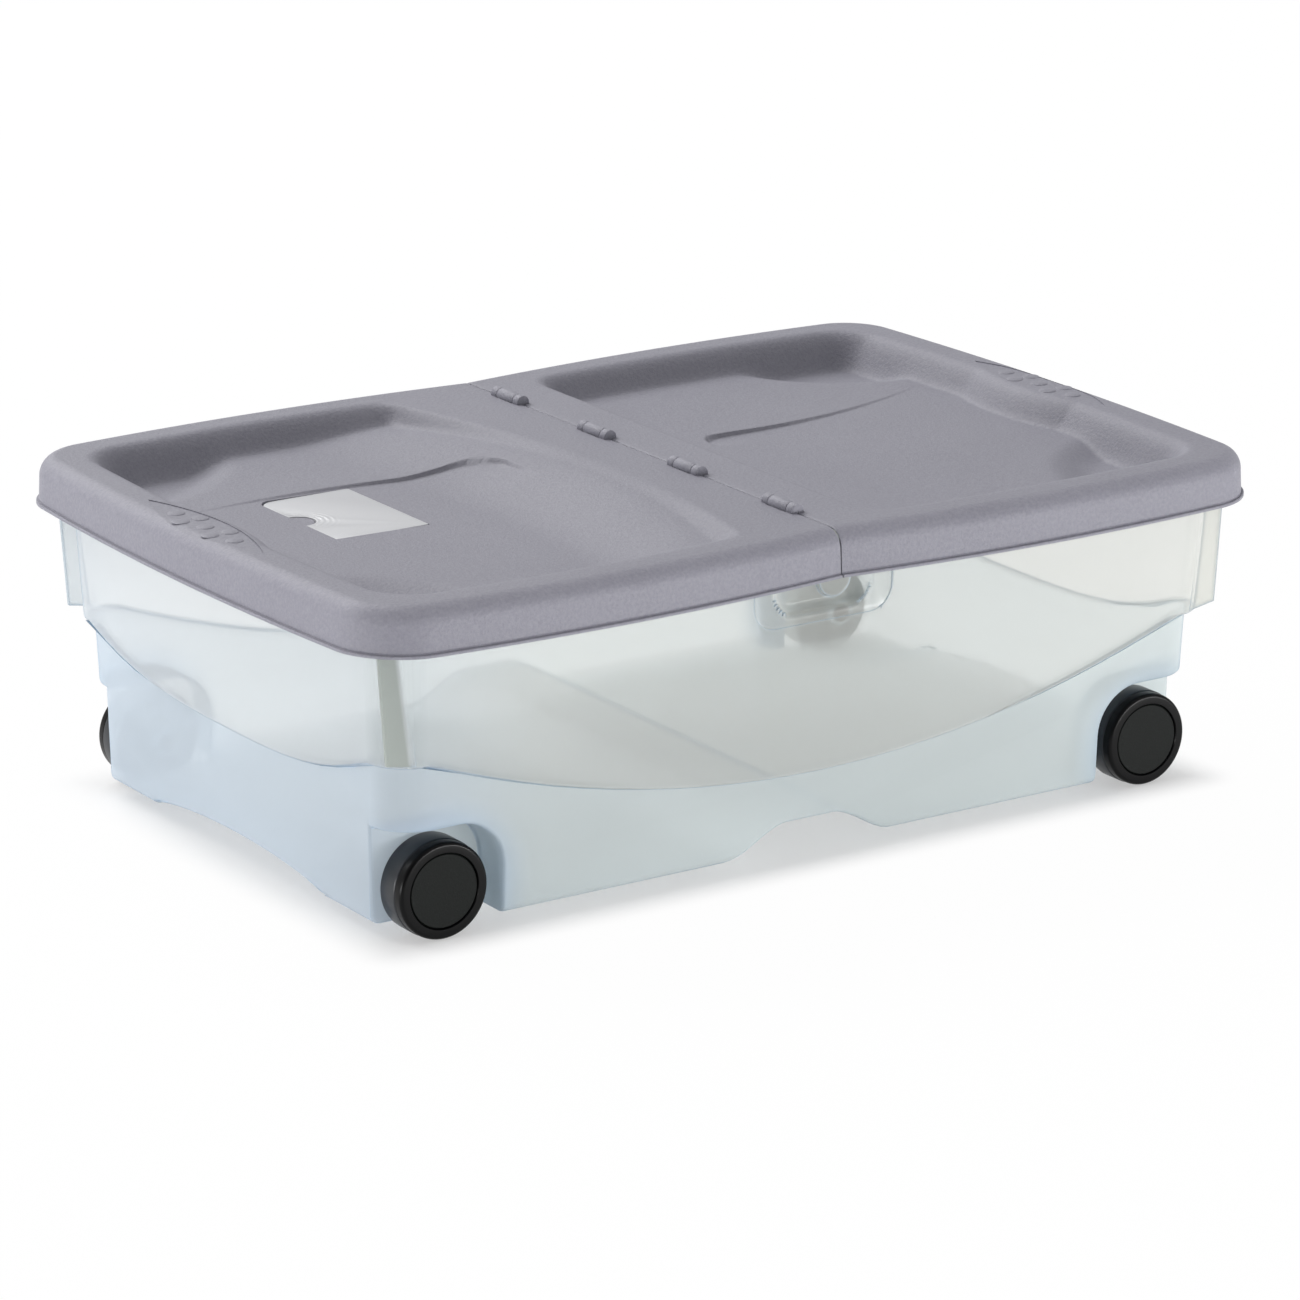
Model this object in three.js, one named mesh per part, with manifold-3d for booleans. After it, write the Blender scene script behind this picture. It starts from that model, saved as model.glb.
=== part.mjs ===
// Wheeled under bed storage box: a translucent one-piece tub, a lid in two hinged halves
// with a label plate, and four snap-in wheels.
// Millimetres, +X along the length, front at -Y, +Z up, origin on the floor under the centre.

import * as THREE from 'three';
import { mergeVertices } from 'three/addons/utils/BufferGeometryUtils.js';
import Module from 'manifold-3d';

const wasm = await Module();
wasm.setup();

// Tub: outside sizes just under the rim, and the walls
const tubLength = 550;
const tubWidth = 360;
const tubCornerRadius = 24;
const tubWall = 2;
const tubRimHeight = 191.3;
const footHeight = 7.5;
const footFillet = 5;
const upperDraft = 0.045;
const lowerDraft = 0.05;
const endDraft = 0.025;
const rimWidth = 10.5;
const rimThickness = 2.2;
const rimLipDepth = 3;

// Step between the clear upper walls and the frosted foot: it hangs in a curve on each wall
const stepDepth = 4.5;
const stepLedge = 1.2;
const stepCornerHeight = 99;
const stepSideHeight = 51.5;
const stepEndHeight = 77.5;

// Arches in the foot
const archWidth = 100;
const archTopWidth = 44;
const archHeight = 17;
const archFlare = 6;
const endArchWidth = 190;
const endArchHeight = 10;
const endArchReach = 62;
const endArchTopReach = 14;

// Hand recesses in the long walls, each with a frame round it and a thumb boss inside
const gripWidth = 68;
const gripHeight = 45;
const gripDepth = 10;
const gripSlope = 9;
const gripCornerRadius = 14;
const gripTopDrop = 4;
const gripFrameBorder = 11;
const gripFrameSill = 3;
const gripFrameDepth = 1.6;
const gripBossRadius = 11;
const gripBossHeight = 2.5;
const gripBossOffset = 12;
const gripBossRise = 6.5;

// Corner fins under the rim
const finThickness = 2;
const finInset = 6;
const finTopReach = 2.5;
const finBottomReach = -3;
const finBottomHeight = 105;

// Wheels and what carries them
const wheelRadius = 27.2;
const wheelWidth = 21;
const wheelGap = 1.2;
const axleFromEnd = 42;
const pocketBackInset = 35.5;
const pocketClearance = 8.5;
const pocketCornerRadius = 27;
const pinRadius = 4;
const pinClearance = 0.25;
const bossWall = 4;
const bossDepth = 9;
const barbHold = 1.4;
const barbLength = 4;
const barbGap = 0.4;
const treadWall = 3;
const webThickness = 2.6;
const hubWall = 3.5;
const capThickness = 6;
const capBevel = 2.2;
const capRingWidth = 6.7;
const capGroove = 1.3;
const treadBevel = 1.2;

// Lid
const lidWall = 2;
const seatGap = 0.3;
const rimClearance = 1;
const lipFlare = 1.7;
const lipThickness = 1.6;
const skirtDepth = 25.9;
const sideBow = 8.9;
const endBow = 8.8;
const lidCornerRadius = 35;
const lidRoundover = 11;
const skirtDraft = 0.6;
const rimLandWidth = 27;
const seamGap = 0.4;

// Recess in each half of the lid
const recessDepth = 15;
const recessRun = 10;
const recessHingeRadius = 18;
const recessCornerRadius = 26;
const hingeLand = 34;

// Lower front panel in each recess: how far back it reaches at its outer end, middle and hinge end
const panelDrop = 2.6;
const panelFade = 160;
const panelBorder = 3;
const leftPanel = { hinge: 62, corner: 24, outer: 70, middle: 80, inner: 66 };
const rightPanel = { hinge: 74, corner: 18, outer: 82, middle: 44, inner: 52 };

// Pockets in the outer corners, where the wheels of a box stacked on top can stand
const cornerPocketDepth = 8;
const cornerPocketLength = 97;
const cornerPocketWidth = 80;
const cornerPocketInset = 25;
const cornerPocketSlope = 11;

// Shallow oval on the end rim of each half, with bumps for the hand
const ovalLength = 110;
const ovalWidth = 25;
const ovalDepth = 0.6;
const ovalFromEnd = 20.6;
const bumpRadius = 3.6;
const bumpTopRadius = 2;
const bumpHeight = 0.5;
const bumpPitch = 32;
const bumpStagger = 6;

// Hinge along the centre line of the lid
const knuckleCount = 4;
const knuckleFromSide = 57.3;
const knuckleRadius = 4.1;
const axisAboveLid = 0.8;
const earLength = 9.5;
const clipLength = 17;
const hingeGap = 0.5;
const hingePinRadius = 2.3;
const hingeClearance = 0.3;

// Label plate
const labelLength = 55;
const labelWidth = 78;
const labelThickness = 1.2;
const labelSeatDepth = 1.4;
const labelGap = 0.4;
const labelFromHinge = 176;
const labelBackY = 70;
const labelCornerRadius = 10;
const labelNotchRadius = 7.5;

// Curve quality
const cornerSteps = 5;
const sideSteps = 10;
const endSteps = 6;
const roundSides = 24;
const smallSides = 12;

// Sizes that follow
const lidTop = tubRimHeight + seatGap + lidWall;
const lidBottom = lidTop - skirtDepth;
const lidShoulder = lidTop - lidRoundover;
const overhang = rimWidth + rimClearance + lidWall + lipFlare + skirtDraft;
const lidHalfLength = tubLength / 2 + overhang;
const lidHalfWidth = tubWidth / 2 + overhang;
const landLow = lidTop - lidWall;
const hingeZ = lidTop + axisAboveLid;
const clipHalf = clipLength / 2;
const earInner = clipHalf + hingeGap;
const earOuter = earInner + earLength;
const notchX = knuckleRadius + hingeGap;
const axleX = tubLength / 2 - axleFromEnd;
const pocketBackY = tubWidth / 2 - pocketBackInset;
const wheelInnerY = pocketBackY + wheelGap;
const wheelOuterY = wheelInnerY + wheelWidth;
const capBackY = wheelOuterY - capThickness;
const capSeatY = capBackY - seatGap;
const pocketTop = wheelRadius * 2 + pocketClearance;
const pocketInnerX = axleX - wheelRadius - pocketClearance;
const bossEndY = pocketBackY - tubWall - bossDepth;
const gripTop = tubRimHeight - gripTopDrop;
const gripWallY = tubWidth / 2 - (tubRimHeight - lidBottom) * upperDraft;
const recessFloor = lidTop - recessDepth;
const labelFloor = recessFloor - panelDrop * 0.6 - labelSeatDepth;
const labelX = -labelFromHinge;
const labelY = labelBackY - labelWidth / 2;
const far = tubLength;

// Materials
const clearPolypropylene = new THREE.MeshStandardMaterial({
  color: 0xcfdde3, roughness: 0.25, metalness: 0, transparent: true, opacity: 0.55,
});
const lidPolypropylene = new THREE.MeshStandardMaterial({ color: 0x97949f, roughness: 0.5, metalness: 0 });
const labelPolypropylene = new THREE.MeshStandardMaterial({ color: 0xc2c2c4, roughness: 0.35, metalness: 0 });
const blackPolypropylene = new THREE.MeshStandardMaterial({ color: 0x17181a, roughness: 0.35, metalness: 0 });
const capPolypropylene = new THREE.MeshStandardMaterial({ color: 0x1b2323, roughness: 0.55, metalness: 0 });
const pinAcetal = new THREE.MeshStandardMaterial({ color: 0x2a2b2d, roughness: 0.3, metalness: 0 });

// Solids and meshes
function solid(geometry) {
  const bare = geometry.index ? geometry.toNonIndexed() : geometry.clone();
  bare.deleteAttribute('normal');
  bare.deleteAttribute('uv');
  const merged = mergeVertices(bare, 1e-4);
  return new wasm.Manifold(new wasm.Mesh({
    numProp: 3,
    vertProperties: new Float32Array(merged.attributes.position.array),
    triVerts: new Uint32Array(merged.index.array),
  }));
}

function geometryOf(body) {
  const mesh = body.getMesh();
  const geometry = new THREE.BufferGeometry();
  geometry.setAttribute('position', new THREE.BufferAttribute(new Float32Array(mesh.vertProperties), 3));
  geometry.setIndex(new THREE.BufferAttribute(new Uint32Array(mesh.triVerts), 1));
  return geometry;
}

function joined(bodies) {
  return bodies.reduce((all, body) => all.add(body));
}

// A closed solid through level or wavy loops of equally many points, lowest first
function loft(loops) {
  const count = loops[0].length;
  const positions = [];
  const triangle = (a, b, c) => positions.push(a.x, a.y, a.z, b.x, b.y, b.z, c.x, c.y, c.z);
  for (let level = 0; level + 1 < loops.length; level += 1) {
    const low = loops[level];
    const high = loops[level + 1];
    for (let i = 0; i < count; i += 1) {
      const j = (i + 1) % count;
      triangle(low[i], low[j], high[j]);
      triangle(low[i], high[j], high[i]);
    }
  }
  const top = loops[loops.length - 1];
  for (const [loop, up] of [[loops[0], false], [top, true]]) {
    const outline = loop.map((p) => new THREE.Vector2(p.x, p.y));
    for (const [a, b, c] of THREE.ShapeUtils.triangulateShape(outline, [])) {
      if (up) triangle(loop[a], loop[b], loop[c]);
      else triangle(loop[a], loop[c], loop[b]);
    }
  }
  const geometry = new THREE.BufferGeometry();
  geometry.setAttribute('position', new THREE.Float32BufferAttribute(positions, 3));
  return solid(geometry);
}

// A rounded rectangle, counter-clockwise, with a radius of its own at the two ends in X
function roundedOutline({ x0, x1, halfWidth, radius0, radius1, steps0, steps1, alongX, alongY }) {
  const points = [];
  const corner = (cx, cy, radius, steps, from) => {
    for (let i = 0; i <= steps; i += 1) {
      const angle = from + (Math.PI / 2) * (steps ? i / steps : 0);
      points.push({ x: cx + radius * Math.cos(angle), y: cy + radius * Math.sin(angle) });
      if (!steps) break;
    }
  };
  const side = (ax, ay, bx, by, steps) => {
    for (let i = 1; i < steps; i += 1) {
      const t = i / steps;
      points.push({ x: ax + (bx - ax) * t, y: ay + (by - ay) * t });
    }
  };
  const w = halfWidth;
  corner(x1 - radius1, w - radius1, radius1, steps1, 0);
  side(x1 - radius1, w, x0 + radius0, w, alongX);
  corner(x0 + radius0, w - radius0, radius0, steps0, Math.PI / 2);
  side(x0, w - radius0, x0, -w + radius0, alongY);
  corner(x0 + radius0, -w + radius0, radius0, steps0, Math.PI);
  side(x0 + radius0, -w, x1 - radius1, -w, alongX);
  corner(x1 - radius1, -w + radius1, radius1, steps1, 1.5 * Math.PI);
  side(x1, -w + radius1, x1, w - radius1, alongY);
  return points;
}

function atHeight(points, z) {
  return points.map((p) => ({ x: p.x, y: p.y, z }));
}

// An outline in the XZ plane carried along Y, or in the YZ plane carried along X
function extrudeAlongY(shape, y0, y1) {
  const geometry = new THREE.ExtrudeGeometry(shape, { depth: y1 - y0, bevelEnabled: false, curveSegments: 6 });
  geometry.rotateX(Math.PI / 2);
  geometry.translate(0, y1, 0);
  return solid(geometry);
}

function lathe(profile, sides = roundSides) {
  return new THREE.LatheGeometry(profile.map(([r, h]) => new THREE.Vector2(r, h)), sides);
}

function mirrorX(body) {
  return body.mirror([1, 0, 0]);
}

function mirrorY(body) {
  return body.mirror([0, 1, 0]);
}

function fourCorners(body) {
  const pair = body.add(mirrorX(body));
  return pair.add(mirrorY(pair));
}

// Tub
function tubSection(halfLength, halfWidth, radius) {
  return roundedOutline({
    x0: -halfLength, x1: halfLength, halfWidth, radius0: radius, radius1: radius,
    steps0: cornerSteps, steps1: cornerSteps, alongX: sideSteps, alongY: endSteps,
  });
}

function upperSection(z, inset) {
  const drop = tubRimHeight - z;
  const halfLength = tubLength / 2 - drop * upperDraft - inset;
  const halfWidth = tubWidth / 2 - drop * upperDraft - inset;
  return tubSection(halfLength, halfWidth, tubCornerRadius - inset);
}

function lowerSection(z, inset) {
  const drop = stepCornerHeight - z;
  const halfLength = tubLength / 2 - (tubRimHeight - stepCornerHeight) * upperDraft
    - stepDepth - drop * endDraft - inset;
  const halfWidth = tubWidth / 2 - (tubRimHeight - stepCornerHeight) * upperDraft
    - stepDepth - drop * lowerDraft - inset;
  return tubSection(halfLength, halfWidth, tubCornerRadius - inset);
}

// Height of the step over a point of the outline
function stepHeight(point) {
  const straightX = tubLength / 2 - tubCornerRadius;
  const straightY = tubWidth / 2 - tubCornerRadius;
  const x = Math.abs(point.x) / straightX;
  const y = Math.abs(point.y) / straightY;
  if (x < 1 && y >= 1) return stepSideHeight + (stepCornerHeight - stepSideHeight) * x ** 2;
  if (y < 1 && x >= 1) return stepEndHeight + (stepCornerHeight - stepEndHeight) * y ** 3;
  return stepCornerHeight;
}

function tubBody(inset, top) {
  const heights = tubSection(tubLength / 2, tubWidth / 2, tubCornerRadius).map(stepHeight);
  const stepped = (section, rise) => {
    const loops = heights.map((height) => section(height + rise, inset));
    return heights.map((height, i) => ({ ...loops[i][i], z: height + rise }));
  };
  const floor = footHeight + inset;
  return loft([
    atHeight(lowerSection(floor, inset + footFillet), floor),
    atHeight(lowerSection(floor + 1.5, inset + 1.5), floor + 1.5),
    atHeight(lowerSection(floor + footFillet, inset), floor + footFillet),
    stepped(lowerSection, inset),
    stepped(upperSection, inset + stepLedge),
    atHeight(upperSection(top, inset), top),
  ]);
}

// Wheel pocket at the corner +X, +Y, open to the side and to the end
function wheelPocket(grow) {
  const shape = new THREE.Shape();
  const inner = pocketInnerX - grow;
  const top = pocketTop + grow;
  const radius = pocketCornerRadius + grow;
  shape.moveTo(inner, -grow);
  shape.lineTo(far, -grow);
  shape.lineTo(far, top);
  shape.lineTo(inner + radius, top);
  shape.absarc(inner + radius, top - radius, radius, Math.PI / 2, Math.PI, false);
  shape.lineTo(inner, -grow);
  return extrudeAlongY(shape, pocketBackY - grow, far);
}

// Tunnel that runs from the front arch to the back arch, flared at the floor
function footTunnel(grow) {
  const shape = new THREE.Shape();
  const top = footHeight + archHeight + grow;
  const foot = archWidth / 2 + grow;
  const crown = archTopWidth / 2 + grow;
  const middle = footHeight + archHeight / 2;
  const side = (foot + crown) / 2;
  shape.moveTo(-foot - archFlare, -grow);
  shape.lineTo(-foot - archFlare, footHeight);
  shape.quadraticCurveTo(-foot, footHeight, -side, middle);
  shape.quadraticCurveTo(-crown, top, -crown + archFlare, top);
  shape.lineTo(crown - archFlare, top);
  shape.quadraticCurveTo(crown, top, side, middle);
  shape.quadraticCurveTo(foot, footHeight, foot + archFlare, footHeight);
  shape.lineTo(foot + archFlare, -grow);
  return extrudeAlongY(shape, -far, far);
}

// Shallow arch under the end wall at +X, fading towards the middle of the floor
function endArch(grow) {
  const loops = [];
  const stations = 6;
  const half = endArchWidth / 2 + grow;
  const endX = tubLength / 2 + rimWidth;
  const startX = tubLength / 2 - endArchReach - grow;
  const topX = tubLength / 2 - endArchTopReach;
  for (let i = 0; i <= stations; i += 1) {
    const angle = (Math.PI * i) / stations;
    const y = -half * Math.cos(angle);
    const height = footHeight + endArchHeight * Math.sin(angle) ** 1.3 + grow;
    const fade = Math.min(height, footHeight + grow) - 0.5;
    loops.push([[startX, -grow], [endX, -grow], [endX, height], [topX, height], [startX, fade]]
      .map(([x, z]) => ({ x, y: z, z: y })));
  }
  return loft(loops).rotate([90, 0, 0]).mirror([0, 1, 0]);
}

// Outline of a hand recess in the XZ plane, its bottom corners rounded
function gripOutline(halfWidth, low, radius, y) {
  const high = gripTop;
  const points = [{ x: halfWidth, y: high }, { x: -halfWidth, y: high }];
  for (const [cx, from] of [[-halfWidth + radius, Math.PI], [halfWidth - radius, 1.5 * Math.PI]]) {
    for (let i = 0; i <= cornerSteps; i += 1) {
      const angle = from + ((Math.PI / 2) * i) / cornerSteps;
      points.push({ x: cx + radius * Math.cos(angle), y: low + radius + radius * Math.sin(angle) });
    }
  }
  return points.map((p) => ({ ...p, z: -y }));
}

// Hand recess in the wall at +Y, open at the side, its walls sloping in towards the back
function gripRecess(grow) {
  const half = gripWidth / 2 + grow;
  const low = gripTop - gripHeight - grow;
  const back = gripWallY - gripDepth - grow;
  const frameHalf = half + gripFrameBorder;
  const frameLow = low - gripFrameSill;
  const frameBack = gripWallY - gripFrameDepth - grow;
  const standing = (loops) => loft(loops).rotate([90, 0, 0]);
  const frame = standing([
    gripOutline(frameHalf, frameLow, gripCornerRadius, far),
    gripOutline(frameHalf, frameLow, gripCornerRadius, frameBack),
  ]);
  const hollow = standing([
    gripOutline(half, low, gripCornerRadius, far),
    gripOutline(half, low, gripCornerRadius, gripWallY),
    gripOutline(half - gripSlope, low + gripFrameSill, gripCornerRadius, back),
  ]);
  return frame.add(hollow);
}

function roundBar(radius, x, z, y0, y1, sides = roundSides) {
  const geometry = new THREE.CylinderGeometry(radius, radius, y1 - y0, sides);
  geometry.translate(0, (y0 + y1) / 2, 0);
  geometry.translate(x, 0, z);
  return solid(geometry);
}

// Thumb boss in the recess at +Y
function gripBoss() {
  const back = gripWallY - gripDepth;
  const z = gripTop - gripHeight + gripBossRise + gripBossRadius;
  return roundBar(gripBossRadius, -gripBossOffset, z, back - tubWall / 2, back + gripBossHeight, roundSides);
}

// Thin fin under the rim at the corner +X, +Y, in the XZ plane
function cornerFin() {
  const y = tubWidth / 2 - finInset;
  const root = tubLength / 2 - tubCornerRadius;
  const reach = tubLength / 2;
  const top = tubRimHeight - rimThickness / 2;
  const shape = new THREE.Shape();
  shape.moveTo(root, finBottomHeight - 3);
  shape.lineTo(reach + finBottomReach, finBottomHeight);
  shape.lineTo(reach + finTopReach, lidShoulder);
  shape.lineTo(reach - finInset, top);
  shape.lineTo(root, top);
  return extrudeAlongY(shape, y - finThickness / 2, y + finThickness / 2);
}

// Rolled rim: it follows the inside of the lid's roundover and ends in a short lip
function rimRoll(thinner) {
  const across = lidRoundover - lidWall - rimClearance;
  const centre = rimWidth - across;
  const loop = (reach, z) => {
    const out = centre + reach;
    return atHeight(tubSection(tubLength / 2 + out, tubWidth / 2 + out, tubCornerRadius + out), z);
  };
  const loops = [loop(across - thinner, lidShoulder - rimLipDepth - (thinner ? 1 : 0))];
  for (const degrees of [0, 30, 62, 90]) {
    const angle = THREE.MathUtils.degToRad(degrees);
    const rise = tubRimHeight - lidShoulder - thinner;
    loops.push(loop((across - thinner) * Math.cos(angle), lidShoulder + rise * Math.sin(angle)));
  }
  return loft(loops);
}

function rimFlange() {
  const low = lidShoulder - rimLipDepth - rimThickness;
  const mouth = loft([
    atHeight(upperSection(tubRimHeight, tubWall), low),
    atHeight(upperSection(tubRimHeight, tubWall), tubRimHeight + 1),
  ]);
  return rimRoll(0).subtract(rimRoll(rimThickness)).subtract(mouth);
}

function tub() {
  const cuts = (grow) => joined([
    fourCorners(wheelPocket(grow)),
    footTunnel(grow),
    endArch(grow),
    mirrorX(endArch(grow)),
    gripRecess(grow),
    mirrorY(gripRecess(grow)),
  ]);
  const outside = tubBody(0, tubRimHeight).subtract(cuts(0));
  const inside = tubBody(tubWall, tubRimHeight + rimThickness).subtract(cuts(tubWall));
  const fins = fourCorners(cornerFin()).subtract(inside);
  const hand = gripBoss();
  const bossRadius = pinRadius + bossWall;
  const boss = roundBar(bossRadius, axleX, wheelRadius, bossEndY, pocketBackY - tubWall / 2, roundSides);
  const hole = roundBar(pinRadius + pinClearance, axleX, wheelRadius, bossEndY - 1, pocketBackY + 1, smallSides);
  const added = [rimFlange(), fins, hand, mirrorX(mirrorY(hand)), fourCorners(boss)];
  return joined([outside.subtract(inside), ...added]).subtract(fourCorners(hole));
}

// Lid: every outline is bowed in each half, so that the long sides meet in a cusp at the hinge
function bowed(point) {
  const h = lidHalfLength;
  const u = Math.min(Math.abs(point.x) / h, 1);
  const v = Math.min(Math.abs(point.y) / lidHalfWidth, 1);
  const sideScale = 1 + (sideBow * 4 * u * (1 - u)) / lidHalfWidth;
  const endScale = 1 + (endBow * (1 - v ** 2)) / h;
  return { x: point.x * (1 + (endScale - 1) * u), y: point.y * sideScale };
}

function lidSection(inset) {
  return roundedOutline({
    x0: 0, x1: lidHalfLength - inset, halfWidth: lidHalfWidth - inset,
    radius0: 0, radius1: lidCornerRadius - inset,
    steps0: 0, steps1: 6, alongX: 8, alongY: 6,
  }).map(bowed);
}

// Recess outline: grows with offset, stays clear of the hinge land
function recessSection(offset) {
  const inset = rimLandWidth;
  return roundedOutline({
    x0: hingeLand - offset, x1: lidHalfLength - inset + offset, halfWidth: lidHalfWidth - inset + offset,
    radius0: recessHingeRadius + offset * 0.5, radius1: recessCornerRadius + offset * 0.5,
    steps0: 4, steps1: 5, alongX: 6, alongY: 6,
  }).map(bowed);
}

function lidOutside() {
  const skirtInset = lipFlare + skirtDraft;
  const loops = [
    atHeight(lidSection(0), lidBottom),
    atHeight(lidSection(0), lidBottom + lipThickness),
    atHeight(lidSection(lipFlare), lidBottom + lipThickness + 1),
    atHeight(lidSection(skirtInset), lidShoulder),
  ];
  for (const degrees of [25, 50, 72, 90]) {
    const angle = THREE.MathUtils.degToRad(degrees);
    const inset = skirtInset + lidRoundover * (1 - Math.cos(angle));
    loops.push(atHeight(lidSection(inset), lidShoulder + lidRoundover * Math.sin(angle)));
  }
  return loft(loops);
}

function lidInside() {
  const skirtInset = lipFlare + skirtDraft + lidWall;
  const radius = lidRoundover - lidWall;
  const loops = [
    atHeight(lidSection(lipFlare + lidWall), lidBottom - 1),
    atHeight(lidSection(skirtInset), lidShoulder),
  ];
  for (const degrees of [30, 62, 90]) {
    const angle = THREE.MathUtils.degToRad(degrees);
    const inset = skirtInset + radius * (1 - Math.cos(angle));
    loops.push(atHeight(lidSection(inset), lidShoulder + radius * Math.sin(angle)));
  }
  return loft(loops);
}

// Recess as a tool: grow 0 cuts the top surface, grow lidWall bounds the underside
function recessTool(grow) {
  const floor = recessFloor - grow;
  const top = lidTop;
  return loft([
    atHeight(recessSection(grow - recessRun - 1.5), floor),
    atHeight(recessSection(grow - recessRun + 0.5), floor + 1),
    atHeight(recessSection(grow - 2.2), top - 3.2),
    atHeight(recessSection(grow), top - 0.8),
    atHeight(recessSection(grow + 2.5), top + 0.2),
  ]);
}

// Pocket in the outer corner of the recess at +X, +Y
function cornerPocket(grow) {
  const cx = lidHalfLength - cornerPocketInset;
  const cy = lidHalfWidth - cornerPocketInset;
  const floor = recessFloor - cornerPocketDepth - grow;
  const disc = (inset, z) => {
    const loop = [];
    for (let i = 0; i < roundSides; i += 1) {
      const angle = (2 * Math.PI * i) / roundSides;
      const along = (cornerPocketLength + grow - inset) * Math.cos(angle);
      const across = (cornerPocketWidth + grow - inset) * Math.sin(angle);
      loop.push({ x: cx + along, y: cy + across, z });
    }
    return loop;
  };
  const bowl = loft([
    disc(cornerPocketSlope, floor),
    disc(cornerPocketSlope - 4, floor + 1.5),
    disc(0, recessFloor - grow + 0.5),
  ]);
  const bounds = loft([
    atHeight(recessSection(grow - recessRun - 4), floor - 1),
    atHeight(recessSection(grow - recessRun), recessFloor - grow + 0.6),
  ]);
  return bowl.intersect(bounds);
}

// Front part of the recess floor at +X, a little lower than the back part and fading outwards
function frontPanel(grow, panel) {
  const floor = recessFloor - grow;
  const near = -(lidHalfWidth - rimLandWidth - recessRun - panelBorder) - grow;
  const outer = lidHalfLength - rimLandWidth - recessRun - panelBorder;
  const middle = (panel.hinge + outer) / 2;
  const hinge = panel.hinge - grow;
  const inner = panel.inner + grow;
  const shape = new THREE.Shape();
  shape.moveTo(outer, near);
  shape.lineTo(outer, panel.outer + grow);
  shape.quadraticCurveTo(middle, panel.middle + grow, hinge + panel.corner, inner);
  shape.quadraticCurveTo(hinge, inner - 2, hinge, inner - panel.corner);
  shape.quadraticCurveTo(hinge, near / 4, hinge + panel.corner / 2, near);
  const geometry = new THREE.ExtrudeGeometry(shape, { depth: 6, bevelEnabled: false, curveSegments: 6 });
  geometry.translate(0, 0, floor);
  const wedge = geometry.attributes.position;
  for (let i = 0; i < wedge.count; i += 1) {
    const fade = THREE.MathUtils.clamp((outer - wedge.getX(i)) / panelFade, 0, 1);
    if (wedge.getZ(i) < floor + 1) wedge.setZ(i, floor - panelDrop * fade);
  }
  return solid(geometry);
}

// Lens-shaped cut in the end rim at +X
function ovalCut() {
  const half = ovalLength / 2;
  const cx = lidHalfLength + endBow - ovalFromEnd;
  const shape = new THREE.Shape();
  shape.moveTo(cx, -half);
  shape.quadraticCurveTo(cx + ovalWidth, 0, cx, half);
  shape.quadraticCurveTo(cx - ovalWidth, 0, cx, -half);
  const geometry = new THREE.ExtrudeGeometry(shape, { depth: lidWall, bevelEnabled: false, curveSegments: 8 });
  geometry.translate(0, 0, lidTop - ovalDepth);
  return solid(geometry);
}

// Three bumps on the long axis of the oval and two beside each gap between them
function ovalBumps() {
  const cx = lidHalfLength + endBow - ovalFromEnd;
  const height = ovalDepth * 2 + bumpHeight;
  const places = [-1, 0, 1].map((row) => [cx, row * bumpPitch]);
  for (const row of [-0.5, 0.5]) {
    places.push([cx - bumpStagger, row * bumpPitch], [cx + bumpStagger, row * bumpPitch]);
  }
  return joined(places.map(([x, y]) => {
    const geometry = new THREE.CylinderGeometry(bumpTopRadius, bumpRadius, height, 8);
    geometry.rotateX(Math.PI / 2);
    geometry.translate(x, y, lidTop + bumpHeight - height / 2);
    return solid(geometry);
  }));
}

function knucklePlaces() {
  const first = knuckleFromSide - lidHalfWidth;
  const pitch = (-2 * first) / (knuckleCount - 1);
  return Array.from({ length: knuckleCount }, (_, i) => first + i * pitch);
}

// Seat of the label plate, for the half at +X
function labelSeat(grow) {
  const halfLength = labelLength / 2 + labelGap + grow;
  const halfWidth = labelWidth / 2 + labelGap + grow;
  return box(
    labelFromHinge - halfLength, labelFromHinge + halfLength,
    labelY - halfWidth, labelY + halfWidth, labelFloor - grow, lidTop,
  );
}

// The shell of one half, at +X, before the hinge is added
function lidShell(panel, seats) {
  const tools = (grow) => joined([
    recessTool(grow),
    cornerPocket(grow),
    mirrorY(cornerPocket(grow)),
    frontPanel(grow, panel),
    ...seats.map((seat) => seat(grow)),
  ]);
  const outside = lidOutside().subtract(tools(0)).subtract(ovalCut()).add(ovalBumps());
  const inside = lidInside().subtract(tools(lidWall));
  return outside.subtract(inside).intersect(box(seamGap, far, -far, far, 0, far));
}

function box(x0, x1, y0, y1, z0, z1) {
  const geometry = new THREE.BoxGeometry(x1 - x0, y1 - y0, z1 - z0);
  geometry.translate((x0 + x1) / 2, (y0 + y1) / 2, (z0 + z1) / 2);
  return solid(geometry);
}

function knuckleBar(radius, y0, y1) {
  return roundBar(radius, 0, hingeZ, y0, y1, smallSides);
}

// Clips on the right half, each round a pin of the left half and open below
function lidRight() {
  let body = lidShell(rightPanel, []);
  const mouth = hingePinRadius * 0.8;
  for (const y of knucklePlaces()) {
    const room = earOuter + hingeGap;
    body = body.subtract(box(-1, notchX, y - room, y + room, landLow - 1, lidTop + 1));
    const web = box(0, notchX + 1, y - clipHalf, y + clipHalf, landLow, lidTop);
    const barrel = knuckleBar(knuckleRadius, y - clipHalf, y + clipHalf);
    const bore = knuckleBar(hingePinRadius + hingeClearance, y - clipHalf - 1, y + clipHalf + 1);
    const opening = box(-mouth, mouth, y - clipHalf - 1, y + clipHalf + 1, landLow - knuckleRadius, hingeZ);
    body = body.add(web.add(barrel).subtract(bore).subtract(opening));
  }
  return body;
}

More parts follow.
